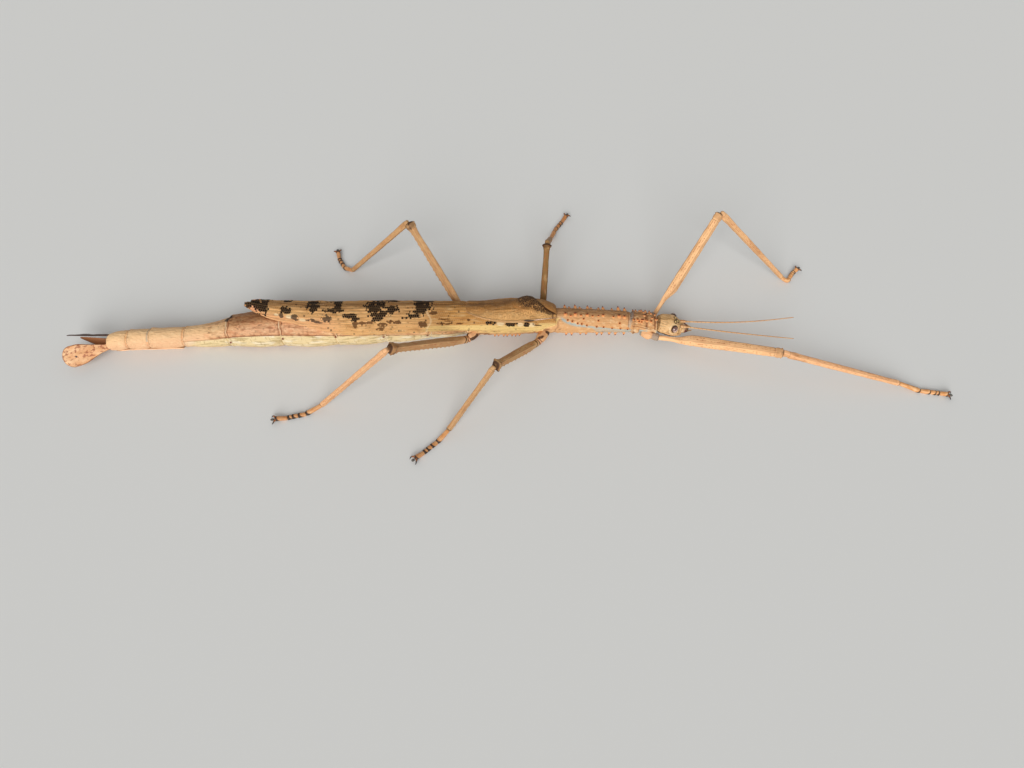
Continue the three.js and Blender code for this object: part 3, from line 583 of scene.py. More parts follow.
head_relief = (
    0.12 * bell(to_eye - SOCKET_RADIUS, 0.14) - 0.20 * before(to_eye, SOCKET_RADIUS - 0.12, 0.18)
    + 0.22 * np.sqrt(np.clip(1 - (to_simple / SIMPLE_EYE_RADIUS) ** 2, 0, 1))
    - 0.09 * bell(to_simple - 0.38, 0.1) + 0.14 * bell(to_root - 0.62, 0.16)
    - 0.12 * face_seam - 0.14 * cheek_seam + 0.12 * cheek + 0.12 * brow - 0.06 * crown
    + 0.08 * pleats - 0.16 * bell(HX + 0.05, 0.3) + 0.05 * wrinkle
    + 0.07 * wander(HX / 0.8, HTURN * 4 + 12, 13) + 0.04 * wander(HX / 0.3, HTURN * 10 + 40, 14))
shrink = blunt(HX - HEAD_BACK, 0.35) * blunt(HEAD_LENGTH + 0.05 - HX, 0.45)
capsule = around_head(HX, HTURN, head_relief * shrink, shrink)
crease = (face_seam + cheek_seam + 0.4 * smooth(-pleats * 1.6) + 0.3 * crown + 0.6 * bell(HX + 0.4, 0.15)
          + 0.45 * smooth(-wrinkle * 2 - 0.6))
pale = (0.75 * bell(behind_eye - 1.35, 0.2) + 0.9 * cheek + 0.5 * bell(from_top - CHEEK, 14) * past(HX, 3, 2)
        + 0.45 * bell(to_root - 0.7, 0.2) + 0.3 * brow)
# Dark rings round the eyes, simple eyes and antenna roots, and painted shade on the underside below the
# cheeks.
dark = (bell(to_eye - SOCKET_RADIUS + 0.16, 0.08) + bell(to_simple - 0.42, 0.2)
        + 0.7 * bell(to_root - 0.5, 0.2) + 1.1 * past(from_top, CHEEK + 4, 9))

head_cuticle = new_material("head cuticle")
# The same dry cuticle drawn tight over the head: olive-tan, with brown in its wrinkles
# and pale where it is thin, behind the eyes and under the cheeks.
face = coats(
    head_cuticle, "#bd8f55",
    ("#e6b880", "blond"),
    ("#7c5127", (0.55, (3.2, 0.7, 0.7), 4), 0.52, 0.66, 0.6),
    ("#efd0a0", (0.45, (3.2, 0.6, 0.6), 3, 4), 0.54, 0.68, 0.6),
    ("#4f3117", "crease", 0.15, 0.9, 0.7),
    ("#f6d8a6", "pale", 0.2, 0.9, 0.75),
    # dark rings, and painted shade under the head
    ("#3a250f", "dark", 0.2, 0.8, 0.85),
    ("#e9cb86", "drop", 0.3, 0.7))
finish(head_cuticle, face, (0.35, (2, 0.8, 0.8), 5), 0.15, 0.5, 0.3)
piece("head_capsule", [shell(
    in_head(capsule), rest=capsule, blond=past(from_top, -25, 60), crease=crease, pale=pale, dark=dark,
    drop=before(to_simple, SIMPLE_EYE_RADIUS + 0.02, 0.1))], head_cuticle, ["head"])

# ------------------------------------------------------------- compound eyes
# Each eye is a small dome of hundreds of lenses, wet-looking and glossy: a pale pinkish
# middle crossed by a dark streak, inside a dark brown rim.

FACETS_PER_RADIUS = 7.0
DOME, AZIMUTH = grid(np.linspace(0.02, np.pi - 0.02, 60), full_turn(80))     # down from its top, and round

eye_lens = new_material("eye lens")
# Clear cuticle over dark pigment: a smooth glossy coat, with facets drawn several times
# coarser than the real 0.03 mm ones, which are too fine to show.
laid_out = node(eye_lens, "Attribute", attribute_name="rest").outputs["Vector"]
facets = node(eye_lens, "TexVoronoi", {"Vector": laid_out, "Scale": FACETS_PER_RADIUS})
iris = coats(
    eye_lens, "#8a6558",
    ("#6e4a40", (0.5,), 0.4, 0.7, 0.6),
    ("#e2c2b4", "pink", 0.2, 0.9, 0.85),
    ("#3a2120", "streak", 0.3, 0.7, 0.9),
    ("#4a2a1a", "rim", 0.2, 0.8))
finish(eye_lens, iris, facets.outputs["Distance"], 0.02, 0.22, 0.6, 0.8)

for side, label in ((1, "left"), (-1, "right")):
    out = unit(np.array([0.25, side, 0.55]))
    fore = unit(np.cross(out, [0, 0, 1.0]))
    across = np.sin(DOME) * np.cos(AZIMUTH)
    upward = np.sin(DOME) * np.sin(AZIMUTH)
    ball = ((0.96 * np.cos(DOME))[..., None] * out + across[..., None] * fore
            + upward[..., None] * np.cross(fore, out))
    ahead = side * across
    streak = bell(ahead + 0.05 * upward, 0.13) * before(np.abs(upward - 0.2), 0.45, 0.2) * (DOME < 1.2)
    pink = past(0.7 * ahead - 0.9 * upward, -0.1, 0.4) * (DOME < 1.3)
    piece(f"eye_dome_{label}", [shell(
        in_head(ball * EYE_RADIUS + EYE * (1, side, 1)), rest=ball, streak=streak, pink=pink,
        rim=past(DOME, 0.82, 0.16))], eye_lens, [f"eye_{label}"])

# ------------------------------------------------------------- mouthparts
# A short muzzle of upper lip over a pair of jaws, dark red at the corners, with two
# jointed palps hanging under it like little fingers.

SIDEWAYS = np.array([0, 1.0, 0])
MUZZLE_ROOT = HEAD_LENGTH + 0.14
RED_CORNER = np.array([8.7, 1.5, -0.1])        # where the jaw is tanned darkest
PALPS = [([[0.0, 0.9, -1.2], [1.2, 1.1, -1.2], [2.9, 0.45, -0.5]], 0.36),    # its bends and radius
         ([[0.2, 0.4, -1.7], [0.9, 0.5, -1.95], [1.8, 0.35, -1.8]], 0.24)]
KNUCKLE_SPACING = 0.95


def limb(path, wide, deep, normal, box=2.0, relief=0.0, sides=40):
    """A tube along a path. Across it lies the superellipse |x / wide|^box + |y / deep|^box
    = 1, grown outwards by relief; x runs along normal, y points under it. Nothing is
    below the floor."""
    along = unit(np.gradient(path, axis=0))
    across = unit(normal - along * (along @ normal)[:, None])
    under = np.cross(along, across)
    turned = full_turn(sides)
    x, y = (np.sign(w) * np.abs(w) ** (2 / box) for w in (np.cos(turned), np.sin(turned)))
    points = (path[:, None] + ((wide + relief) * x)[..., None] * across[:, None]
              + ((deep + relief) * y)[..., None] * under[:, None])
    points[..., 2] = np.maximum(points[..., 2], 0)
    return points


def bent(knots, count):
    """A path of count points through knots, each coordinate a smooth curve over the
    distance walked from knot to knot. Returns the points and a column of the distances."""
    knots = np.asarray(knots, float)
    walked = np.concatenate([[0], np.cumsum(np.linalg.norm(np.diff(knots, axis=0), axis=1))])
    s = np.linspace(0, walked[-1], count)[:, None]
    return np.concatenate([through(zip(walked, column))(s) for column in knots.T], -1), s


muzzle_path, s = bent([[MUZZLE_ROOT - 0.8, 0, -0.85], [MUZZLE_ROOT, 0, -0.9], [MUZZLE_ROOT + 0.7, 0, -0.95],
                       [MUZZLE_ROOT + 1.8, 0, -1.0]], 60)
muzzle_wide = through([[0, 2.2], [0.8, 2.15], [1.6, 1.8], [2.6, 1.05]])(s) * blunt(s[-1] - s, 0.6)
muzzle_deep = through([[0, 1.7], [0.8, 1.5], [1.6, 1.2], [2.6, 0.6]])(s) * blunt(s[-1] - s, 0.6)
around = full_turn(64)
jaw_line = bell((around + np.pi / 2) % (2 * np.pi) - np.pi, 0.25) * past(s, 0, 0.8)
lip_line = bell(s - 1.2, 0.1) * (np.sin(around) < 0.3)
muzzle = limb(muzzle_path, muzzle_wide, muzzle_deep, SIDEWAYS, 2.4, -0.18 * jaw_line - 0.08 * lip_line, 64)
to_corner = away(muzzle * np.where(muzzle[..., 1:2] < 0, MIRROR, (1, 1, 1)), RED_CORNER)
jaw_tip = past(muzzle[..., 0] + 0.5 * (muzzle[..., 2] + 0.5), 9.0, 0.3)
# Black at the jaw tips and along the lip seam: partly their own colour, partly painted shade in the gap.
mouth = [shell(in_head(muzzle), rest=muzzle, red=1.4 * bell(to_corner, 0.75) + 0.6 * jaw_line,
               dark=np.maximum(lip_line, 0.9 * jaw_tip))]
for side in (-1, 1):
    for bends, radius in PALPS:
        palp, s = bent([[MUZZLE_ROOT + x, side * y, z] for x, y, z in bends], 40)
        knuckle = np.abs(np.sin(np.pi * s / KNUCKLE_SPACING))
        thick = radius * (0.8 + 0.2 * knuckle) * (1 - 0.5 * (s / s[-1]) ** 2) * blunt(s[-1] - s, 0.7)
        finger = limb(palp, thick, thick, SIDEWAYS, sides=20)
        mouth.append(shell(in_head(finger), rest=finger, red=0.25 * (1 - knuckle), dark=0))

mouth_cuticle = new_material("mouth cuticle")
# Thin tan cuticle, tanned hard and dark red where the jaws bite.
lips = coats(
    mouth_cuticle, "#e6bd88",
    ("#f8deb2", (0.5,), 0.4, 0.7),
    # black jaw tips and seam, partly painted shade
    ("#2a120d", "dark", 0.2, 0.9, 0.85),
    ("#7d2430", "red", 0.2, 0.8, 0.9))
finish(mouth_cuticle, lips, (0.15,), 0.04, 0.45)
piece("mouth", mouth, mouth_cuticle, ["mouthparts"])

# ------------------------------------------------------------- antennae
# A thick first joint, then a thread of some twenty-five short joints held out between
# the front legs. The cuticle is tan above with an orange-brown line along it.

ANTENNAE = {"left": (1, [77.2, 2.2, 5.0], -1.1),        # side, tip, and how far its middle
            "right": (-1, [75.6, -5.9, 5.0], -0.22)}    # bends off the chord
THREAD_SIDES = 16
joint_length = through([[0, 0.9], [3, 1.1], [12, 1.5], [36, 1.5]])


def unrolled(s, radius, turned, start=0.0):
    """Where a pattern lies on a limb, in millimetres: along it, and twice across it."""
    across, under = radius * np.cos(turned), radius * np.sin(turned)
    return np.stack(np.broadcast_arrays(s + start, across, under), -1)


thread = new_material("antenna cuticle")
# Waxy thin cuticle in short rings, brown at each joint between them.
ringed = coats(
    thread, "#d9a670",
    ("#a4582c", "line", 0.2, 0.9, 0.85),
    ("#eac492", (0.8, (3, 1, 1)), 0.5, 0.7, 0.6),
    ("#6b3a22", "joint", 0.3, 0.9, 0.6))
finish(thread, ringed, (0.2,), 0.02, 0.45)

for label, (side, tip, bow) in ANTENNAE.items():
    root = in_head(ANTENNA_ROOT * (1, side, 1))
    t = np.linspace(0, 1, 361)[:, None]
    path = root + (np.array(tip) - root) * t + bow * np.sin(np.pi * t) * SIDEWAYS
    walked = t * np.linalg.norm(path[-1] - path[0])
    joints_passed = np.cumsum(np.gradient(walked, axis=0) / joint_length(walked), axis=0)
    ring_joint = bell((joints_passed + 0.5) % 1 - 0.5, 0.09)
    thick = (0.24 - 0.11 * t + 0.26 * before(walked, 2.4, 1.8)) * blunt(walked[-1] - walked, 0.6)
    ringed_thick = thick * (1 - 0.12 * ring_joint)
    hair = limb(path, ringed_thick, ringed_thick, SIDEWAYS, sides=THREAD_SIDES)
    turned = full_turn(THREAD_SIDES)
    piece(f"antenna_thread_{label}", [shell(
        hair, rest=unrolled(walked, thick, turned),
        line=bell(np.cos(turned) + side * 0.2, 0.35), joint=ring_joint)],
        thread, [f"antenna_{label}"])

# ------------------------------------------------------------- hindwings
# Each hindwing is pleated like a fan and lies folded along the back, under its one stiff
# leathery strip. Raised veins run along the strip, with short cross veins between them,
# and the cells that they enclose are filled with black pigment in ragged groups.

WING_FRONT = 4.4
WINGS = {"right": (1, -87.6, 84), "left": (-1, -86.0, 94)}     # side, x of the tip, degrees down at the base
PARTING = 0.14                 # from the middle line to each wing, and from the trunk to it
FOLDED = 0.55                  # the least thickness of the folded wing
CHORD = 0.16                   # kept free under it too, as the flats of its mesh cut inside the curve
VEIN_SPACING = 1.05
COSTAL = 57                    # degrees down to the plain yellow strip along the margin
LAID_ASIDE = 9.0               # puts the patterns of the left and the right wing apart
CELL_LENGTH, CELL_HEIGHT, VEIN_WIDTH = 0.6, 0.7, 0.045
arch_y = through([[5, 0], [-20, 0], [-45, -0.6], [-62, -1.2], [-78, -0.4], [-88, 1.7]])
arch_z = through([[5, 6.1], [-4, 7.0], [-24, 7.5], [-62, 7.7], [-78, 9.0], [-88, 11.4]])
arch_width = through([[5, 4.1], [-4, 5.0], [-24, 5.2], [-45, 5.85], [-62, 6.1], [-78, 4.7], [-88, 1.8]])
arch_top = through([[5, 10.0], [-4, 11.4], [-24, 12.0], [-45, 12.6], [-62, 12.9], [-78, 13.3], [-88, 13.0]])

# The pigment of the right wing: x, degrees down from the top, half length, half height.
BLACK = [
    [-35.3, -21, 2.1, 14], [-34.8, -1, 2.1, 12], [-36.1, 12, 1.8, 6], [-37.3, 25, 2.0, 6],
    [-39.8, 31, 1.3, 2], [-48.7, -14, 2.5, 13], [-49.1, 5, 1.9, 8], [-47.6, 21, 2.1, 5],
    [-47.9, 31, 1.4, 6], [-44.0, 1, 1.6, 12], [-45.8, 12, 1.7, 4], [-61.2, 4, 2.5, 6],
    [-60.1, -8, 1.2, 10], [-67.3, -18, 1.6, 26], [-71.9, -33, 1.0, 12], [-57.7, -34, 1.3, 5],
    [-75.1, 11, 1.5, 12], [-56, 20, 1.4, 6], [-54.6, 31, 0.9, 6], [-83.3, -2, 2.5, 36],
    [-81.4, 18, 0.9, 16], [-80.2, -44, 2.3, 12], [-87.0, 5, 1.2, 40], [-84.5, -12, 2.6, 18],
    [-81.6, 12, 1.1, 30], [-79.0, -44, 2.8, 13], [-14.9, 50, 1.3, 7], [-8.8, 54, 1.5, 8],
    [-4.3, 56, 0.7, 8]]
BROWN = [
    [-1.0, 57, 0.8, 3], [-34.7, 53, 1.1, 10], [-54.4, 47, 0.7, 12], [-52.4, 42, 0.8, 4],
    [-50, 42, 1.1, 3], [-46.7, 49, 1.2, 6], [-44.3, 42, 0.9, 4], [-42.1, 44, 0.7, 5],
    [-47.2, 64, 1.0, 5], [-28.6, 38, 1.5, 2], [-27.4, 44, 1, 2], [-29.5, 52, 1.2, 2], [-27.4, 54, 1, 3],
    [-24, 54, 1, 2], [-21.5, 41, 0.5, 4], [-31.7, 17, 0.9, 5]]
GREY = [
    [-72, 31, 0.85, 8], [-76, 30, 0.6, 8], [-63, 29, 1.2, 9], [-67.3, 35, 1.0, 4], [-65.4, 40, 1.0, 3]]
CREAM = [
    [-12.0, 53, 1.0, 7], [-6.2, 56, 0.8, 7], [-2.7, 56, 0.8, 7], [-73.8, 32, 0.8, 5],
    [-69.8, 37, 0.9, 4], [-77.6, 31, 0.6, 4]]
SALMON = [[-84.6, 25, 1.3, 14]]


def blots(x, degrees, places):
    """1 in the middle of each ellipse of places and 0 outside it, with a soft edge."""
    ellipses = [np.hypot((x - mx) / half, (degrees - md) / high) for mx, md, half, high in places]
    return before(np.min(ellipses, axis=0), 1.8, 1.2)


def out_and_back(places, near, far, out, back):
    """The grid of a folded sheet: at each place, out steps from near to far on its outer
    face and back steps home on its inner face. Also says which columns are inside."""
    steps = np.concatenate([np.linspace(near, far, out), np.linspace(far, near, back)])
    return *grid(places, steps), np.arange(out + back)[None, :, None] >= out


def on_arch(x, angle, above):
    """The roof of folded wings: a half ellipse at each x, with angle 0 on top."""
    y = arch_y(x) - (arch_width(x) + above) * np.sin(angle)
    return np.stack([x, y, arch_z(x) + (arch_top(x) - arch_z(x) + above) * np.cos(angle)], -1)


def clear_of_trunk(points, margin):
    """Moves points that lie within a margin of the trunk straight out from its middle."""
    x, y, z = np.moveaxis(points, -1, 0)
    r = trunk_radius(x)
    middle_z = clearance(x) + r * FLATTER
    reach = np.hypot((y - spine_y(x)) / (r * WIDER + margin), (z - middle_z) / (r * FLATTER + margin))
    reach = np.minimum(reach, 1)
    return np.stack([x, spine_y(x) + (y - spine_y(x)) / reach, middle_z + (z - middle_z) / reach], -1)


def on_right(x, degrees, side):
    """Degrees down the right wing, or for the left one those of the same place on it."""
    return degrees if side > 0 else -degrees - 2 * lean(x)


wing = new_material("folded wing")
# Leathery membrane: tan cuticle with a dull face. Its cells are bricks of 0.6 mm between
# pale veins, a little coarser than the real ones, and each is filled with pigment or bare.
laid_out = node(wing, "Attribute", attribute_name="rest").outputs["Vector"]
cells = node(wing, "TexBrick", {
    "Vector": laid_out, "Scale": 1.0, "Brick Width": CELL_LENGTH, "Row Height": CELL_HEIGHT,
    "Mortar Size": VEIN_WIDTH, "Mortar Smooth": 0.1,
    "Color1": (0, 0, 0, 1), "Color2": (1, 1, 1, 1), "Mortar": (0.5, 0.5, 0.5, 1)}, offset=0.37)
luck = node(wing, "MapRange", {"Value": cells.outputs["Color"], "To Min": -0.56, "To Max": 0.46}).outputs[0]
unveined = node(wing, "MapRange", {"Value": cells.outputs["Fac"], "To Min": 1.0, "To Max": 0.5}).outputs[0]
inked, browned, greyed = (
    node(wing, "Math", {0: pattern(wing, pigment), 1: luck}, operation="ADD").outputs[0]
    for pigment in ("ink", "brown", "grey"))
filled = node(wing, "MapRange", {"Value": inked, "From Min": 0.44, "From Max": 0.54}).outputs[0]
leather = coats(
    wing, "#c9914f",
    ("#e9b273", "blond"),
    ("#a3682f", (1.8, (3, 0.7, 1)), 0.50, 0.68, 0.6),
    ("#f3cc92", (0.9, (4, 0.6, 1), 3, 7), 0.53, 0.68, 0.55),
    ("#f2ce86", "yellow", 0, 1, 0.85),
    ("#8a5a2e", (0.6, (1.8, 0.8, 1), 3, 3), 0.58, 0.68, 0.55),
    # painted shade along the top of the folded wings
    ("#6b4320", "dusk", 0, 1, 0.6),
    ("#7a4d24", "vein", 0.3, 0.9, 0.5),
    ("#efc794", cells.outputs["Fac"], 0.3, 1.0, 0.3),
    ("#f1ae80", "salmon", 0.2, 0.9),
    ("#f6deb0", "pale", 0.2, 0.9, 0.75),
    ("#43362c", greyed, 0.40, 0.52, 0.85),
    ("#5a3418", browned, 0.40, 0.55, 0.85),
    ("#140702", [filled, unveined], 0, 0.8, 1.0))
finish(wing, leather, cells.outputs["Fac"], 0.10, 0.65, 0.12)

for label, (side, tip, base_degrees) in WINGS.items():
    places = np.concatenate([np.linspace(WING_FRONT, tip + 6, 300), np.linspace(tip + 5.8, tip, 50)])
    WX, DOWN, inside = out_and_back(places, 0, 1, 76, 24)
    margin = (base_degrees - 32 * before(WX, -50, 26) - 32 * past(WX, -2, 7) - 10 * before(WX, tip + 4, 8)
              - 6 * before(WX, tip + 1.2, 1.2) + 1.6 * wander(WX / 3.0, np.full_like(WX, side + 4), 21))
    parting = side * PARTING / arch_width(WX) - np.radians(lean(WX))
    angle = parting + (side * np.radians(margin) - parting) * DOWN
    degrees = np.degrees(angle)
    mirrored = on_right(WX, degrees, side)
    arc = angle * arch_width(WX)
    # Veins fan out from the root: they run level near the back and spread to the margin.
    vein_row = arc / VEIN_SPACING + 0.25 * wander(WX / 14, np.full_like(WX, 2), 22)
    ridge = np.abs(np.cos(np.pi * vein_row)) ** 6
    wing_relief = (
        0.10 * ridge + 0.10 * bell(DOWN - 0.93, 0.03) - 0.08 * bell(DOWN - 0.86, 0.03)
        + 0.14 * wander(WX / 3.5, arc / 1.6 + 30, 23) + 0.07 * wander(WX / 0.9, arc / 0.6 + 60, 24)
        - 0.9 * bell(WX - tip, 0.7) * np.abs(wander(WX / 0.9, arc / 0.9 + 40, 25)))
    thickness = 2.6 - 1.4 * before(WX, -70, 16)
    depth = FOLDED + (thickness - FOLDED) * np.maximum(np.cos(angle), 0) ** 1.5
    outer = on_arch(WX, angle, wing_relief * (1 - 0.9 * bell(DOWN - 1, 0.02)))
    outer = clear_of_trunk(outer, PARTING + CHORD + FOLDED)
    inner = clear_of_trunk(on_arch(WX, angle, -depth), PARTING + CHORD)
    curved_line = bell(WX + 33.9 - 1.5 * bell(degrees - 42, 22), 0.35) * past(degrees, -2, 6)
    costal = past(mirrored + 11 * past(WX, -2, 2), COSTAL, 4) * past(WX, -36, 4)
    piece(f"wing_{label}", [shell(
        np.where(inside, inner, outer), rest=np.stack([WX, arc, np.full_like(WX, side * LAID_ASIDE)], -1),
        # Painted shade on the top of the folded wings, near the middle of the back.
        blond=before(WX, -26, 12), dusk=before(np.abs(degrees + lean(WX)), 27, 24), yellow=costal,
        ink=blots(WX, mirrored, BLACK), brown=blots(WX, mirrored, BROWN), grey=blots(WX, mirrored, GREY),
        salmon=blots(WX, mirrored, SALMON) + 0.5 * past(mirrored, 10, 30) * before(WX, -52, 12),
        pale=blots(WX, mirrored, CREAM) + 0.7 * curved_line + 0.25 * bell(DOWN - 0.965, 0.02),
        vein=np.abs(np.cos(np.pi * (vein_row + 0.5))) ** 24 * before(mirrored, COSTAL, 6))],
        wing, [f"hindwing_{label}"])

# ------------------------------------------------------------- forewings
# The short forewings are leathery oval scales over the roots of the hindwings. Each has
# a pale rim and a blunt hump at the shoulder, dark in the cells between its pale veins.
# In front of the humps the left one laps across the back, so that the right one tapers.

TEGMEN_FRONT, TEGMEN_REAR, TEGMEN_MARGIN = 4.6, -22.4, 72
TEGMEN_NARROWEST = 8           # degrees down the side at its two ends
TEGMEN_THICKNESS = 0.6
TEGMINA = {"right": (1, 2.3), "left": (-1, 1.0)}       # side and height of the hump
HUMP_X = -3.6
NET_PER_MM = 2.2
NET = [[-3.8, -18, 2.7, 22], [-0.2, 0, 2.2, 13], [2.6, 11, 1.4, 6]]
DASH = [[-3.5, 41, 1.4, 3]]
LAP = through([[4.6, 38], [1.5, 24], [-0.6, 10], [-3.4, -6], [-7, 0]])    # degrees, by x

forewing = new_material("leathery forewing")
# Thick cuticle with a fine net of veins about 0.5 mm apart, olive-brown on top and
# orange-tan on the side, dark in the cells of the net over the hump.
laid_out = node(forewing, "Attribute", attribute_name="rest").outputs["Vector"]
net_cells = node(forewing, "TexVoronoi", {"Vector": laid_out, "Scale": NET_PER_MM},
                 feature="DISTANCE_TO_EDGE")
veins = node(forewing, "MapRange", {"Value": net_cells.outputs["Distance"], "From Max": 0.16, "To Min": 1.0,
                                    "To Max": 0.0}).outputs[0]
bare_cell = node(forewing, "MapRange", {"Value": veins, "To Min": 1.0, "To Max": 0.15}).outputs[0]
scale = coats(
    forewing, "#d2924e",
    # paler down the side, with a painted golden highlight
    ("#f6bd78", "blond"),
    ("#8f5524", (1.4, (2.5, 0.8, 1)), 0.52, 0.68, 0.4),
    ("#f0c68b", (0.8, (2, 0.8, 1), 3, 5), 0.54, 0.68, 0.4),
    ("#5e3d1c", "olive", 0, 1, 0.66),
    ("#e3b47a", veins, 0.2, 1.0, 0.2),
    ("#3a2413", ["net", bare_cell], 0.2, 0.7, 0.92),
    ("#190c07", "dash", 0.4, 0.7, 0.95),
    ("#f8dccb", "rim", 0.2, 0.9, 0.9),
    # dark rim lines, and painted shade along the lapped parting
    ("#4a1f14", "edge", 0.3, 0.9, 0.85))
finish(forewing, scale, veins, 0.22, 0.55, 0.25)

for label, (side, hump_height) in TEGMINA.items():
    right, left = side > 0, side < 0
    TX, DOWN, inside = out_and_back(eased(TEGMEN_FRONT, TEGMEN_REAR, 190), 0, 1, 90, 20)
    t = (TEGMEN_FRONT - TX) / (TEGMEN_FRONT - TEGMEN_REAR)
    oval = np.sin(np.pi * (0.14 + 0.8 * t ** 1.2)) ** 0.5
    margin = TEGMEN_NARROWEST + (TEGMEN_MARGIN - TEGMEN_NARROWEST) * oval
    parting = side * PARTING / arch_width(TX) - np.radians(lean(TX) - LAP(TX))
    limit = side * np.radians(margin) - np.radians(lean(TX))
    angle = parting + (limit - parting) * DOWN
    degrees = np.degrees(angle)
    from_back = side * (degrees + lean(TX))
    mirrored = on_right(TX, degrees, side)
    arc = angle * arch_width(TX)
    hump = (hump_height * bell(TX - HUMP_X, 5.2) * bell(from_back - 4, 30)
            + 0.7 * left * between(TX, -4, 5, 5.6, 4.5) * bell(from_back, 40))
    keel = (0.22 * bell(from_back - 34, 4) * between(TX, -18, 8, 2, 2)
            + 0.35 * bell(TX + 10, 6) * bell(from_back - 45, 15))
    rim = bell(DOWN - 0.945, 0.035)
    swell = (0.10 * rim - 0.08 * bell(DOWN - 0.9, 0.02) + 0.12 * wander(TX / 2.2, arc / 1.3 + 30, 31)
             + 0.05 * wander(TX / 0.7, arc / 0.6 + 60, 32) + keel)
    thin = blunt(TEGMEN_FRONT - TX, 1.2) * blunt(TX - TEGMEN_REAR, 1.2)
    level = PARTING + hump - 0.4 * before(TX, -8, 10)
    outer = on_arch(TX, angle, level + (TEGMEN_THICKNESS + swell) * thin)
    outer = clear_of_trunk(outer, PARTING + TEGMEN_THICKNESS * thin)
    inner = clear_of_trunk(on_arch(TX, angle, level - 0.1), PARTING)
    piece(f"forewing_{label}", [shell(
        np.where(inside, inner, outer), rest=np.stack([TX, arc, np.full_like(TX, side * LAID_ASIDE)], -1),
        # Paler down the side, and a painted golden highlight on the side in front of the hump.
        blond=0.85 * past(from_back, 26, 26) + 0.2 * bell(TX - 0.6, 2) * bell(from_back - 44, 12),
        olive=before(np.abs(from_back), 34, 26) * (1.0 if right else 0.5),
        rim=rim * (0.35 + 0.65 * past(TX, -2.5, 1.5)) + 0.9 * left * bell(t, 0.03) * bell(degrees + 50, 14),
        net=blots(TX, mirrored, NET) * (1.0 if right else 0.25),
        dash=right * blots(TX, mirrored, DASH) + left * bell(TX - 3.7, 0.4) * bell(degrees + 46, 7),
        # Dark rim lines, and in front painted shade along the parting, under the lapping border.
        edge=(0.8 * right * (bell(DOWN - 0.885, 0.015) + bell(t - 0.045, 0.012)) + 0.8 * bell(DOWN - 1, 0.014)
              + 0.9 * bell(DOWN, 0.02) * past(TX, -5, 3)))],
        forewing, [f"tegmen_{label}"])

# ------------------------------------------------------------- legs
# Six walking legs of hollow cuticle: a stout coxa, a long boxy femur and a long tibia with
# four sharp keels, saw-toothed below on the hind pairs, and a foot of five short joints.

LEGS = {                       # coxa, hip, knee and ankle, then the floor track of the foot
    "front_right": ([30.6, -2.9, 3.9], [35.5, -3.9, 3.7], [70.7, -12.9, 7.1], [104.7, -19.8, 1.7],
                    [[110.6, -21.5], [115.4, -22.3], [118.2, -23.2]]),
    "front_left": ([31.4, 2.2, 4.2], [35.4, 3.7, 3.7], [53.2, 24.2, 27.0], [77.8, 20.6, 2.3],
                   [[80.4, 21.0], [82.3, 23.8], [84.2, 25.4]]),
    "middle_right": ([1.2, -3.3, 4.6], [-1.0, -6.8, 4.3], [-13.4, -21.0, 12.4], [-26.6, -35.6, 1.7],
                     [[-29.4, -38.5], [-33.0, -41.9], [-35.4, -44.2]]),
    "middle_left": ([0.4, 3.3, 4.6], [0.8, 6.5, 4.3], [2.1, 21.6, 16.9], [4.1, 38.0, 1.7],
                    [[6.1, 43.6], [8.6, 47.6], [10.0, 49.8]]),
    "hind_right": ([-19.6, -3.2, 4.6], [-22.1, -5.7, 4.3], [-41.7, -22.6, 22.7], [-63.3, -27.3, 1.7],
                   [[-67.8, -29.5], [-72.9, -30.8], [-76.2, -31.5]]),
    "hind_left": ([-20.6, 3.2, 4.6], [-23.8, 5.5, 4.3], [-39.5, 23.0, 24.4], [-60.2, 24.2, 1.7],
                  [[-63.2, 26.3], [-65.2, 29.6], [-66.2, 33.0]]),
}
# Half thickness and half depth: at the femur's root, its deepest, the knee, the tibia, the ankle.
LIMBS = {
    "front": ([0.6, 0.72], [1.32, 1.4], [1.15, 1.3], [0.74, 0.95], [0.66, 0.66]),
    "middle": ([0.95, 1.1], [1.02, 1.32], [1.25, 1.55], [0.72, 0.86], [0.7, 0.7]),
    "hind": ([0.95, 1.1], [1.0, 1.3], [1.25, 1.55], [0.74, 0.88], [0.7, 0.7]),
}
# How pale each femur and tibia is, from brown 0 to peach 1, and how pink its tibia is.
# Part of this paleness, set leg by leg, is painted light and shade.
PALENESS_AND_LIGHT = {"front_right": (1.0, 0.95, 0.5), "front_left": (0.95, 0.8, 0.2), "middle_right": (0.4, 0.6, 0.0),
            "middle_left": (0.1, 0.3, 0.0), "hind_right": (0.38, 0.85, 0.4), "hind_left": (0.6, 0.5, 0.0)}
TOOTH_HEIGHT = {"front": 0.07, "middle": 0.22, "hind": 0.24}
TOOTH_SPACING = 1.75
COXA_RADIUS = 1.35
plump_coxa = through([          # share of the radius, from the flank at 0 to the hip at 1
    [-0.2, 0.35], [0, 0.65], [0.3, 1.02], [0.5, 0.95], [0.58, 0.72], [0.75, 0.8], [1.2, 0.8]])
stout_coxa = through([
    [-0.2, 0.9], [0, 1], [0.5, 1.04], [0.76, 0.84], [0.8, 0.72], [0.92, 0.88], [1.0, 0.74], [1.2, 0.74]])
KEELS = np.radians([45, 135, 225, 315])        # the first two are underneath
FEMUR_BOW = 0.58               # the front femurs bend inwards by this much at the root
KNEE_DENT, KNEE_NOTCH = 0.925, 0.8             # share of the femur; millimetres down the tibia
JOINT_GAP = 0.1                # each tube stops this short of its joint
BOXY, ROUNDED = 2.7, 2.2       # how square a tube is across; 2 is an ellipse
TARSUS_RADIUS = 0.7
FOOT_HEIGHT = 0.5              # centre of the foot pads, so that they lie flat
FRONT_FOOT_JOINTS = [0, 0.45, 0.65, 0.76, 0.83, 1.0]
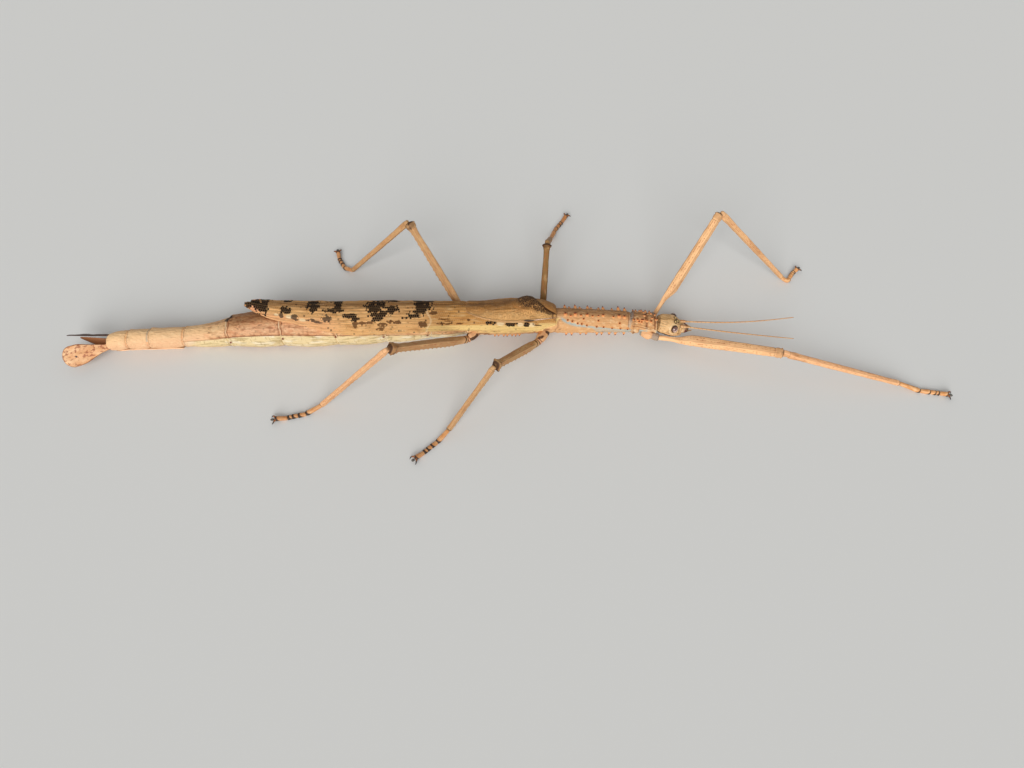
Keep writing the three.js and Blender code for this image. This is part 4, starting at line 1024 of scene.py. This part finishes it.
FOOT_JOINTS = [0, 0.37, 0.53, 0.65, 0.74, 1.0]
FOOT_BANDS = {"front": (0.85, 0.45), "middle": (1.15, 0.60), "hind": (1.35, 0.65)}   # length, slant
CLAW_LENGTH, CLAW_SIDES, CLAW_Z = 1.4, 20, 1.15
LIMB_SIDES = 48
RINGS_PER_MM = 8
LAID_APART = 37.0              # between the patterns of one limb and the next, in millimetres
UPRIGHT = np.array([0, 0, 1.0])

leg_cuticle = new_material("leg cuticle")
# Dry matt cuticle with red-brown stipple in the grooves between the keels, darker on
# the keels themselves and almost black in the folds of the joints.
hide = coats(
    leg_cuticle, "#704e12",
    ("#ffca92", "blond"),
    ("#ee9f78", "pink", 0, 1, 0.55),
    ("#9c5f30", (1.2, (5, 1, 1)), 0.52, 0.68, 0.4),
    ("#f8d398", (0.8, (4, 1, 1), 3, 6), 0.54, 0.68, 0.25),
    ("#b3572f", ["groove", (0.3, (1.8, 1, 1), 2, 3)], 0.40, 0.52, 0.85),
    ("#8a552a", "keel", 0.3, 1.0, 0.5),
    ("#8c877c", "membrane", 0.3, 0.8, 0.85),
    # dark joint bands, and painted shade along the far upper keel
    ("#34180b", "band", 0.2, 0.9, 0.9))
finish(leg_cuticle, hide, (0.6, (3, 1, 1), 4), 0.25, 0.55, 0.25)

foot_cuticle = new_material("foot cuticle")
# The same cuticle, orange on the foot and black at the end of each of its joints.
sole = coats(
    foot_cuticle, "#e09a5c",
    ("#f8c48c", (0.7, (2, 1, 1)), 0.4, 0.7),
    # browner middle and hind feet, and painted shade on the middle left one
    ("#8f5228", "shade", 0, 1, 0.6),
    ("#1f100b", "band", 0.3, 0.75, 0.95))
finish(foot_cuticle, sole, (0.25,), 0.05, 0.42)

claw_horn = new_material("claw horn")
# Hard black horn with a polished face; the pad between the claws is soft and grey.
hook = coats(
    claw_horn, "#1c110d",
    ("#a2602e", "root", 0.2, 1.0, 0.85),
    ("#5f5a52", "pad", 0.4, 0.6))
finish(claw_horn, hook, (0.2,), 0.02, 0.28, 0.5)

# Round a limb: its sharp keels, the flats between them and its underside.
LIMB_TURN = full_turn(LIMB_SIDES)
from_keel = np.abs((LIMB_TURN[:, None] - KEELS + np.pi) % (2 * np.pi) - np.pi)
from_flat = np.abs((LIMB_TURN + np.pi / 4) % (np.pi / 2) - np.pi / 4)
from_below = np.sin(LIMB_TURN) - 1
keel, lower_keel = bell(from_keel.min(-1), 0.20), bell(from_keel[:, :2].min(-1), 0.22)
groove = bell(from_flat - 0.2, 0.16)
# Painted shade along the far upper keel, on the flat turned from the light.
shaded_far_keel = bell(LIMB_TURN - KEELS[2], 0.2)


def keeled(s, toothed, height):
    """Relief of a boxy limb: a sharp ridge on each of its four keels, a shallow groove on
    each flat between them, and saw teeth of a height on the two keels underneath."""
    tooth = np.clip(1 - np.abs((s / TOOTH_SPACING) % 1 - 0.55) / 0.2, 0, 1)
    return 0.10 * keel - 0.07 * groove + toothed * tooth * height * lower_keel


def roughened(s, length, waves, seed, start, size=0.05):
    """Seeded humps on a limb, of a length along it and with so many waves round it."""
    return size * wander(s / length + start, LIMB_TURN / (2 * np.pi) * waves, seed, waves)


def tapers(knots, t):
    """Half thickness and half depth along a limb: the curves through knots that give both."""
    return [through([[place, both[i]] for place, both in knots])(t) for i in (0, 1)]


def leg_tube(label, stands_for, path, normal, s, sizes, rounding, box, relief, place, **marks):
    """One piece of a leg: a tube of two sizes along its path, which rounding closes at its
    ends, with its pattern laid out at a place of its own."""
    tube = limb(path, sizes[0] * rounding, sizes[1] * rounding, normal, box, relief, LIMB_SIDES)
    piece(label, [shell(tube, rest=unrolled(s, sizes[0], LIMB_TURN, LAID_APART * place), **marks)],
          leg_cuticle, [stands_for])


for number, (name, (coxa, hip, knee, ankle, track)) in enumerate(LEGS.items()):
    pair = name.split("_")[0]
    front, stretched = pair == "front", name == "front_right"
    root, femur_size, knee_size, tibia_size, ankle_size = np.array(LIMBS[pair])
    coxa, hip, knee, ankle = (np.array(point) for point in (coxa, hip, knee, ankle))
    femur_pale_and_lit, tibia_pale_and_lit, pink = PALENESS_AND_LIGHT[name]
    normal = unit(np.cross(knee - hip, UPRIGHT))

    # The front femur is narrow and bowed at its root, so that the pair closes on the head.
    length = np.linalg.norm(knee - hip)
    s = np.linspace(0, length - JOINT_GAP, int(length * RINGS_PER_MM))[:, None]
    t = s / length
    bow = FEMUR_BOW * (1 if name.endswith("right") else -1) * front
    sizes = tapers([[0, root], [0.15, root * 1.06], [0.28, femur_size], [0.55, femur_size * 0.94],
                    [0.88, femur_size * 0.88], [0.95, knee_size], [1, knee_size * 0.86]], t)
    rounding = blunt(length - JOINT_GAP - s, 0.45) * blunt(s + 0.4, 0.9)
    body = between(t, 0.10, 0.08, 0.97, 0.04)
    knee_relief = (0.16 * bell(t - 0.955, 0.018) * bell(np.abs(np.cos(LIMB_TURN)) - 1, 0.5)
                   + 0.32 * bell(s - length + 0.75, 0.2) * bell(np.abs(np.sin(2 * LIMB_TURN)) - 1, 0.3))
    wrinkle = roughened(s, 1.6, 9, 41, 30 * number)
    toothed = between(t, 0.1, 0.1, 0.93, 0.03)
    relief = keeled(s, toothed, TOOTH_HEIGHT[pair]) * body + knee_relief + wrinkle
    relief = relief - 0.10 * bell(t - KNEE_DENT, 0.008)
    hip_bands = bell(s - 0.35, 0.36) + 1.1 * bell(s - 1.5, 0.3)
    knee_blotches = 0.55 * past(wrinkle * 20, 0.1, 0.3) * past(t, KNEE_DENT, 0.01)
    path = hip + (knee - hip) * t + bow * (1 - past(t, 0.15, 0.13)) * normal
    leg_tube(f"thigh_{name}", f"femur_{name}", path, normal, s, sizes, rounding, BOXY,
             relief * rounding, number,
             blond=femur_pale_and_lit + 0.25 * before(t, 0.14, 0.1), pink=pink * 0.3, groove=groove * body,
             keel=keel * body + 0.75 * past(t, 0.93, 0.012), membrane=0,
             band=(bell(s - length + 0.28, 0.25) + (not front) * (hip_bands + knee_blotches)
                   + 0.5 * bell(t - KNEE_DENT, 0.004) + 0.5 * past(knee_relief, 0.2, 0.08)
                   + (0.75 if stretched else 0.3) * shaded_far_keel * body))

    # The coxa is a short stout cup in the flank, closed by the ring of the trochanter.
    to_hip = hip + bow * normal - coxa
    s = np.linspace(-0.6, np.linalg.norm(to_hip) + 0.35, 60)[:, None]
    t = s / np.linalg.norm(to_hip)
    ring_at = 0.6 if front else 0.82
    trochanter = past(t, ring_at, 0.04)
    radius = COXA_RADIUS * (plump_coxa if front else stout_coxa)(t) * blunt(s[-1] - s, 0.4)
    cup_ridge = 0.10 * bell(from_flat, 0.2) * before(t, 0.8, 0.1)
    streaks = past(roughened(s, 1.2, 12, 44, 9 * number, 1), 0.02, 0.25) * before(t, ring_at + 0.05, 0.1)
    leg_tube(f"hip_{name}", f"coxa_{name}", coxa + to_hip * t, normal, s, [radius, radius], 1, ROUNDED,
             cup_ridge + roughened(s, 0.7, 9, 42 + number, 50), number + 10,
             blond=0.85 if front else 0.6, pink=0.4 + 0.5 * trochanter, groove=0.4 * cup_ridge, keel=0,
             membrane=before(t, 0.02, 0.08) + 0.75 * trochanter * front,
             band=((0.5 if front else 1) * (bell(t - ring_at, 0.028) + bell(t - 1.0, 0.03))
                   + (not front) * streaks))

    # The tibia is thinner and straight, and ends in a slightly wider rim.
    length = np.linalg.norm(ankle - knee)
    s = np.linspace(-0.5 if stretched else 0.1, length - JOINT_GAP, int(length * RINGS_PER_MM))[:, None]
    t = s / length
    sizes = tapers([[0, tibia_size * (1.15 if stretched else 0.85)], [0.06, tibia_size * 1.12],
                    [0.13, tibia_size], [0.5, tibia_size * 0.92],
                    [0.93, ankle_size], [1, ankle_size * 1.12]], t)
    rounding = blunt(length - JOINT_GAP - s, 0.35) * blunt(s - s[0] + 0.1, 0.4)
    body = between(t, 0.04, 0.05, 0.985, 0.02)
    toothed = between(t, 0.08, 0.1, 0.95, 0.03)
    knee_notch = bell(s - KNEE_NOTCH, 0.4) * bell(from_below, 0.6)
    relief = (0.8 * keeled(s, toothed, TOOTH_HEIGHT[pair] * 0.6) * body - 0.45 * knee_notch
              + roughened(s, 1.6, 9, 43, 9 * number, 0.04))
    leg_tube(f"shin_{name}", f"tibia_{name}", knee + (ankle - knee) * t, normal, s, sizes, rounding, BOXY,
             relief * rounding, number + 20,
             blond=tibia_pale_and_lit, pink=pink, groove=groove * body, keel=keel * body, membrane=0,
             band=(0.5 * bell(s - 1.4, 0.14) + 0.9 * bell(s - length + 0.25, 0.32)
                   + 0.8 * bell(s - KNEE_NOTCH, 0.35) * bell(from_below, 0.5)
                   + (0.7 if stretched else 0.2) * shaded_far_keel * body))

    # The foot lies flat on its pads, and its last joint rises to the claws.
    heel, middle, toe = (np.array([*point, FOOT_HEIGHT]) for point in track)
    begin = ankle - 0.3 * unit(heel - ankle)
    settle = begin + (heel - begin) * 0.6
    wrist = middle + (toe - middle) * 0.75
    settle[2], wrist[2] = 0.95, 1.0
    last = np.array([*toe[:2], CLAW_Z])
    path, s = bent([begin, settle, heel, (heel + middle) / 2, middle, wrist, last], 220)
    t = s / s[-1]
    foot_joints = np.array(FRONT_FOOT_JOINTS if front else FOOT_JOINTS)
    joint = np.clip(np.searchsorted(foot_joints, t, side="right") - 1, 0, 4)
    first, end = foot_joints[joint], foot_joints[joint + 1]
    within = (t - first) / (end - first)
    band_length, slant = FOOT_BANDS[pair]
    swelling = 0.84 + 0.18 * within ** 2 - 0.30 * bell(within, 0.05) - 0.25 * bell(within - 1, 0.05)
    thick = TARSUS_RADIUS * swelling * blunt(s[-1] - s, 0.5) * blunt(s + 0.1, 0.3)
    pads = 0.10 * within ** 2 * bell(from_below, 0.5)
    piece(f"foot_{name}", [shell(
        limb(path, thick, thick, UPRIGHT, ROUNDED, pads, LIMB_SIDES),
        rest=unrolled(s, thick, LIMB_TURN, LAID_APART * (number + 30)),
        band=(before((end - t) * s[-1], band_length - slant * np.cos(LIMB_TURN), 0.35)
              + 0.8 * bell((t - first) * s[-1], 0.12) + 0.4 * (joint == 4) * past(within, 0.5, 0.4)),
        # Browner on the middle and hind feet, and painted shade on the middle left one.
        shade=(not front) * (0.25 + 0.3 * (joint > 0)) + 0.35 * (name == "middle_left"))],
        foot_cuticle, [])

    heading = unit(toe - middle)
    aside = np.array([-heading[1], heading[0], 0])
    t = np.linspace(0, 1, 40)[:, None]
    claw_thick = (0.37 - 0.30 * t ** 0.9) * blunt(1.02 - t, 0.1)
    claw_height = 0.3 * np.sin(np.pi * t) - 0.85 * t ** 2
    hooks = []
    for side in (-1, 1):
        spread = side * (0.2 + 1.0 * np.sin(1.9 * t) ** 1.2)
        curve = last + heading * (-0.5 + CLAW_LENGTH * t) + aside * spread + UPRIGHT * claw_height
        claw = limb(curve, claw_thick, claw_thick, UPRIGHT, sides=CLAW_SIDES)
        hooks.append(shell(claw, rest=curve[:, None], root=before(t, 0.7, 0.4), pad=0))
    middle_of_pad = last + heading * (0.1 + 1.0 * t) - 0.15 * UPRIGHT
    thick = 0.42 * blunt(t + 0.02, 0.5) * blunt(1.02 - t, 0.5)
    pad = limb(middle_of_pad, thick * 0.7, thick, UPRIGHT, sides=CLAW_SIDES)
    hooks.append(shell(pad, rest=middle_of_pad[:, None], root=0, pad=1))
    piece(f"claws_{name}", hooks, claw_horn, [f"tarsus_{name}"])

# ------------------------------------------------------------- cerci
# A pair of leaf-shaped feelers at the tail: thin stiff blades with a raised midrib, a
# thicker rim and a short stalk. The right one lies open and the left is seen on edge.

CERCUS_LENGTH, CERCUS_WIDTH, CERCUS_THICK, STALK = 12.6, 6.5, 0.7, 0.55
CERCUS_X, CERCI_APART = -128.0, 1.9            # where they grow, each so far from the middle
CERCI = {"right": (1, 21, 42, 5.0), "left": (-1, 0, 50, 5.5)}     # side, turn and roll in degrees, height

blade = new_material("cercus blade")
# Dry cuticle, orange and freckled red-brown, darker along the rim; the left one is painted dark umber as
# shade.
leaf = coats(
    blade, "#e6a66f",
    ("#f6c795", (1.6, (2, 1, 1)), 0.4, 0.7),
    ("#9c4a20", (0.6, (1.5, 1, 1), 3, 5), 0.53, 0.62, 0.8),
    ("#86491f", "rim", 0.2, 1.0, 0.85),
    ("#42261a", "umber", 0, 1, 0.95),
    ("#1d0f0a", "spot", 0.4, 0.6))
finish(blade, leaf, (0.4, (2, 1, 1), 4), 0.10, 0.5)


def closing(past_edge, least=0.004):
    """Narrows to an end: a quarter ellipse from 1 at an edge to nearly 0 at 1 past it, held
    at the root of its least."""
    return np.sqrt(np.maximum(least, 1 - np.maximum(0, past_edge) ** 2))


def turned_by(angle, a, b):
    """The coordinates a and b after a turn by an angle from a towards b."""
    return np.cos(angle) * a - np.sin(angle) * b, np.sin(angle) * a + np.cos(angle) * b


for label, (side, turned, rolled, height) in CERCI.items():
    t, phi = grid(np.linspace(0, 1, 150), full_turn(96))
    across = np.sign(np.cos(phi)) * np.abs(np.cos(phi)) ** 0.8
    half = 0.5 * CERCUS_WIDTH * (0.28 + 0.72 * smooth(t / 0.74)) * closing((t - 0.78) / 0.22)
    midrib, thick_rim = bell(across, 0.16) * before(t, 0.9, 0.3), bell(np.abs(across) - 0.9, 0.09)
    thick = CERCUS_THICK / 2 * (0.45 + 0.4 * midrib + 0.35 * thick_rim)
    thick = thick * blunt(t + 0.03, 0.1) * closing((t - 0.9) / 0.1, 0.02)
    ripple = 0.10 * np.sin(3 * t * np.pi + 1) * across ** 2 + 0.06 * wander(t * 9, across * 3 + 9, 51)
    x = STALK - 0.7 * (1 - t) + CERCUS_LENGTH * t
    y = across * half * (1 + 0.03 * wander(t * 11, np.sign(across) + 4, 52))
    z = np.sin(phi) * thick + ripple * smooth(t / 0.2)
    y, z = turned_by(-side * np.radians(rolled), y, z)
    x, y = turned_by(np.pi + np.radians(turned), x, y)
    foot_of = np.array([CERCUS_X, spine_y(CERCUS_X) - side * CERCI_APART, height])
    flat = np.stack([t * CERCUS_LENGTH, across * half, np.sign(np.sin(phi)) * 0.2 + side * 5.0], -1)
    # The left blade is painted dark as shade.
    piece(f"cercus_blade_{label}", [shell(
        np.stack([x, y, z], -1) + foot_of, rest=flat, umber=side < 0,
        rim=bell(np.abs(across) - 1, 0.10) + bell(t - 1, 0.03) + 0.5 * before(t, 0.12, 0.1),
        spot=(side > 0) * bell(np.hypot((t - 0.72) * CERCUS_LENGTH, across * half - 0.3), 0.35))],
        blade, [f"cercus_{label}"])

# ------------------------------------------------------------- plate under the tail
# A boat-shaped plate of hard cuticle under the last segments, which holds the eggs. It
# hinges at its front edge and runs out behind in a raised point.

PLATE_FRONT, PLATE_REAR = -107.5, -136.8
PLATE_THICKNESS, PLATE_OFF = 0.35, 0.08        # its own, and off the skin
PLATE_REACH = 50               # degrees up each side of the belly
POINT_X = -126                 # from here the plate narrows to its point
BARE_X = -124                  # behind here it stands clear of the skin and shows its colour
PLATE_ASIDE, POINT_RISE = 0.9, 2.6             # how far the point goes to the left and up

keel_plate = new_material("egg plate")
# Harder and redder than the skin around it, with a low keel and a thin dark rim.
boat = coats(
    keel_plate, "#f6c89c",
    ("#c08052", "rear"),
    ("#c07a52", (1.0, (3, 1, 1)), 0.50, 0.7, 0.35),
    ("#4f2415", "rim", 0.2, 0.9, 0.8))
finish(keel_plate, boat, (0.4, (3, 1, 1), 4), 0.10, 0.42)

PX, DOWN, inside = out_and_back(eased(PLATE_FRONT, PLATE_REAR, 170), -1, 1, 70, 30)
reach = PLATE_REACH * (1 - 0.1 * before(PX, -112, 14)) * closing((POINT_X - PX) / 11.0)
angle = np.radians(reach) * DOWN
nearest = np.maximum(PX, -128.1)
point = np.clip((POINT_X - PX) / 12, 0, 1)
r = trunk_radius(nearest)
outer_relief = (PLATE_THICKNESS * blunt(PLATE_FRONT - PX, 0.6) + 0.15 * bell(DOWN, 0.08)
                + 0.06 * wander(PX / 1.5, angle * 4 + 9, 61))
raised = PLATE_OFF + np.where(inside[..., 0], 0, outer_relief)
half_width = (r * WIDER + raised) * (1 - 0.72 * point ** 1.6)
half_height = (r * FLATTER + raised + 0.1) * (1 - 0.68 * point)
points = np.stack([PX, spine_y(PX) + PLATE_ASIDE * point - half_width * np.sin(angle),
                   clearance(nearest) + r * FLATTER + POINT_RISE * point - half_height * np.cos(angle)], -1)
points[..., 2] = np.maximum(points[..., 2], 0)
piece("egg_plate", [shell(points, rest=points, rear=before(PX, BARE_X, 5),
                          rim=bell(np.abs(DOWN) - 1, 0.05) * (0.08 + 0.92 * before(PX, BARE_X, 4)))],
      keel_plate, ["subgenital_plate"])

# ------------------------------------------------------------- floor, light and camera
# A plain pale matt floor under soft daylight: one broad lamp from the insect's right side,
# a weaker one from its left, and an even pale sky.

FLOOR_SIZE = 4.0               # metres
SUNS = {"main_light": (2.6, 45, (60, 0, -10)),      # strength, then spread and turn in degrees
        "fill_light": (0.2, 60, (-50, 0, 20))}
SKY_STRENGTH = 0.33
CAMERA_PLACE = np.array([-8.62, -143.92, 189.0])    # over the insect's right side
CAMERA_TILT = 33.5             # degrees from straight down
CAMERA_LENS = 27.04            # for a sensor of 36


def stood(label, data):
    """A new object of the scene."""
    made = bpy.data.objects.new(label, data)
    bpy.context.scene.collection.objects.link(made)
    return made


matt = new_material("matt floor")
# Painted board, with no pattern of its own.
matt.node_tree.nodes["Principled BSDF"].inputs["Base Color"].default_value = linear("#e6e6e3")
matt.node_tree.nodes["Principled BSDF"].inputs["Roughness"].default_value = 0.9
floor_mesh = bpy.data.meshes.new("floor")
floor_corners = np.array([[-1, -1, 0], [1, -1, 0], [1, 1, 0], [-1, 1, 0]]) * FLOOR_SIZE / 2
floor_mesh.from_pydata(floor_corners.tolist(), [], [[0, 1, 2, 3]])
floor_mesh.materials.append(matt)
stood("floor", floor_mesh)

for label, (strength, spread, turned) in SUNS.items():
    lamp = bpy.data.lights.new(label, "SUN")
    lamp.energy = strength
    lamp.angle = np.radians(spread)
    stood(label, lamp).rotation_euler = np.radians(turned)

sky = bpy.data.worlds.new("pale sky")
sky.use_nodes = True
sky.node_tree.nodes["Background"].inputs["Color"].default_value = linear("#eeeeee")
sky.node_tree.nodes["Background"].inputs["Strength"].default_value = SKY_STRENGTH
bpy.context.scene.world = sky

lens = bpy.data.cameras.new("camera")
lens.lens = CAMERA_LENS
lens.sensor_width = 36
lens.clip_start = 0.01
camera = stood("camera", lens)
camera.location = (CAMERA_PLACE + ORIGIN) * MM
camera.rotation_euler = (np.radians(CAMERA_TILT), 0, 0)
bpy.context.scene.camera = camera
bpy.context.scene.view_settings.view_transform = "Standard"
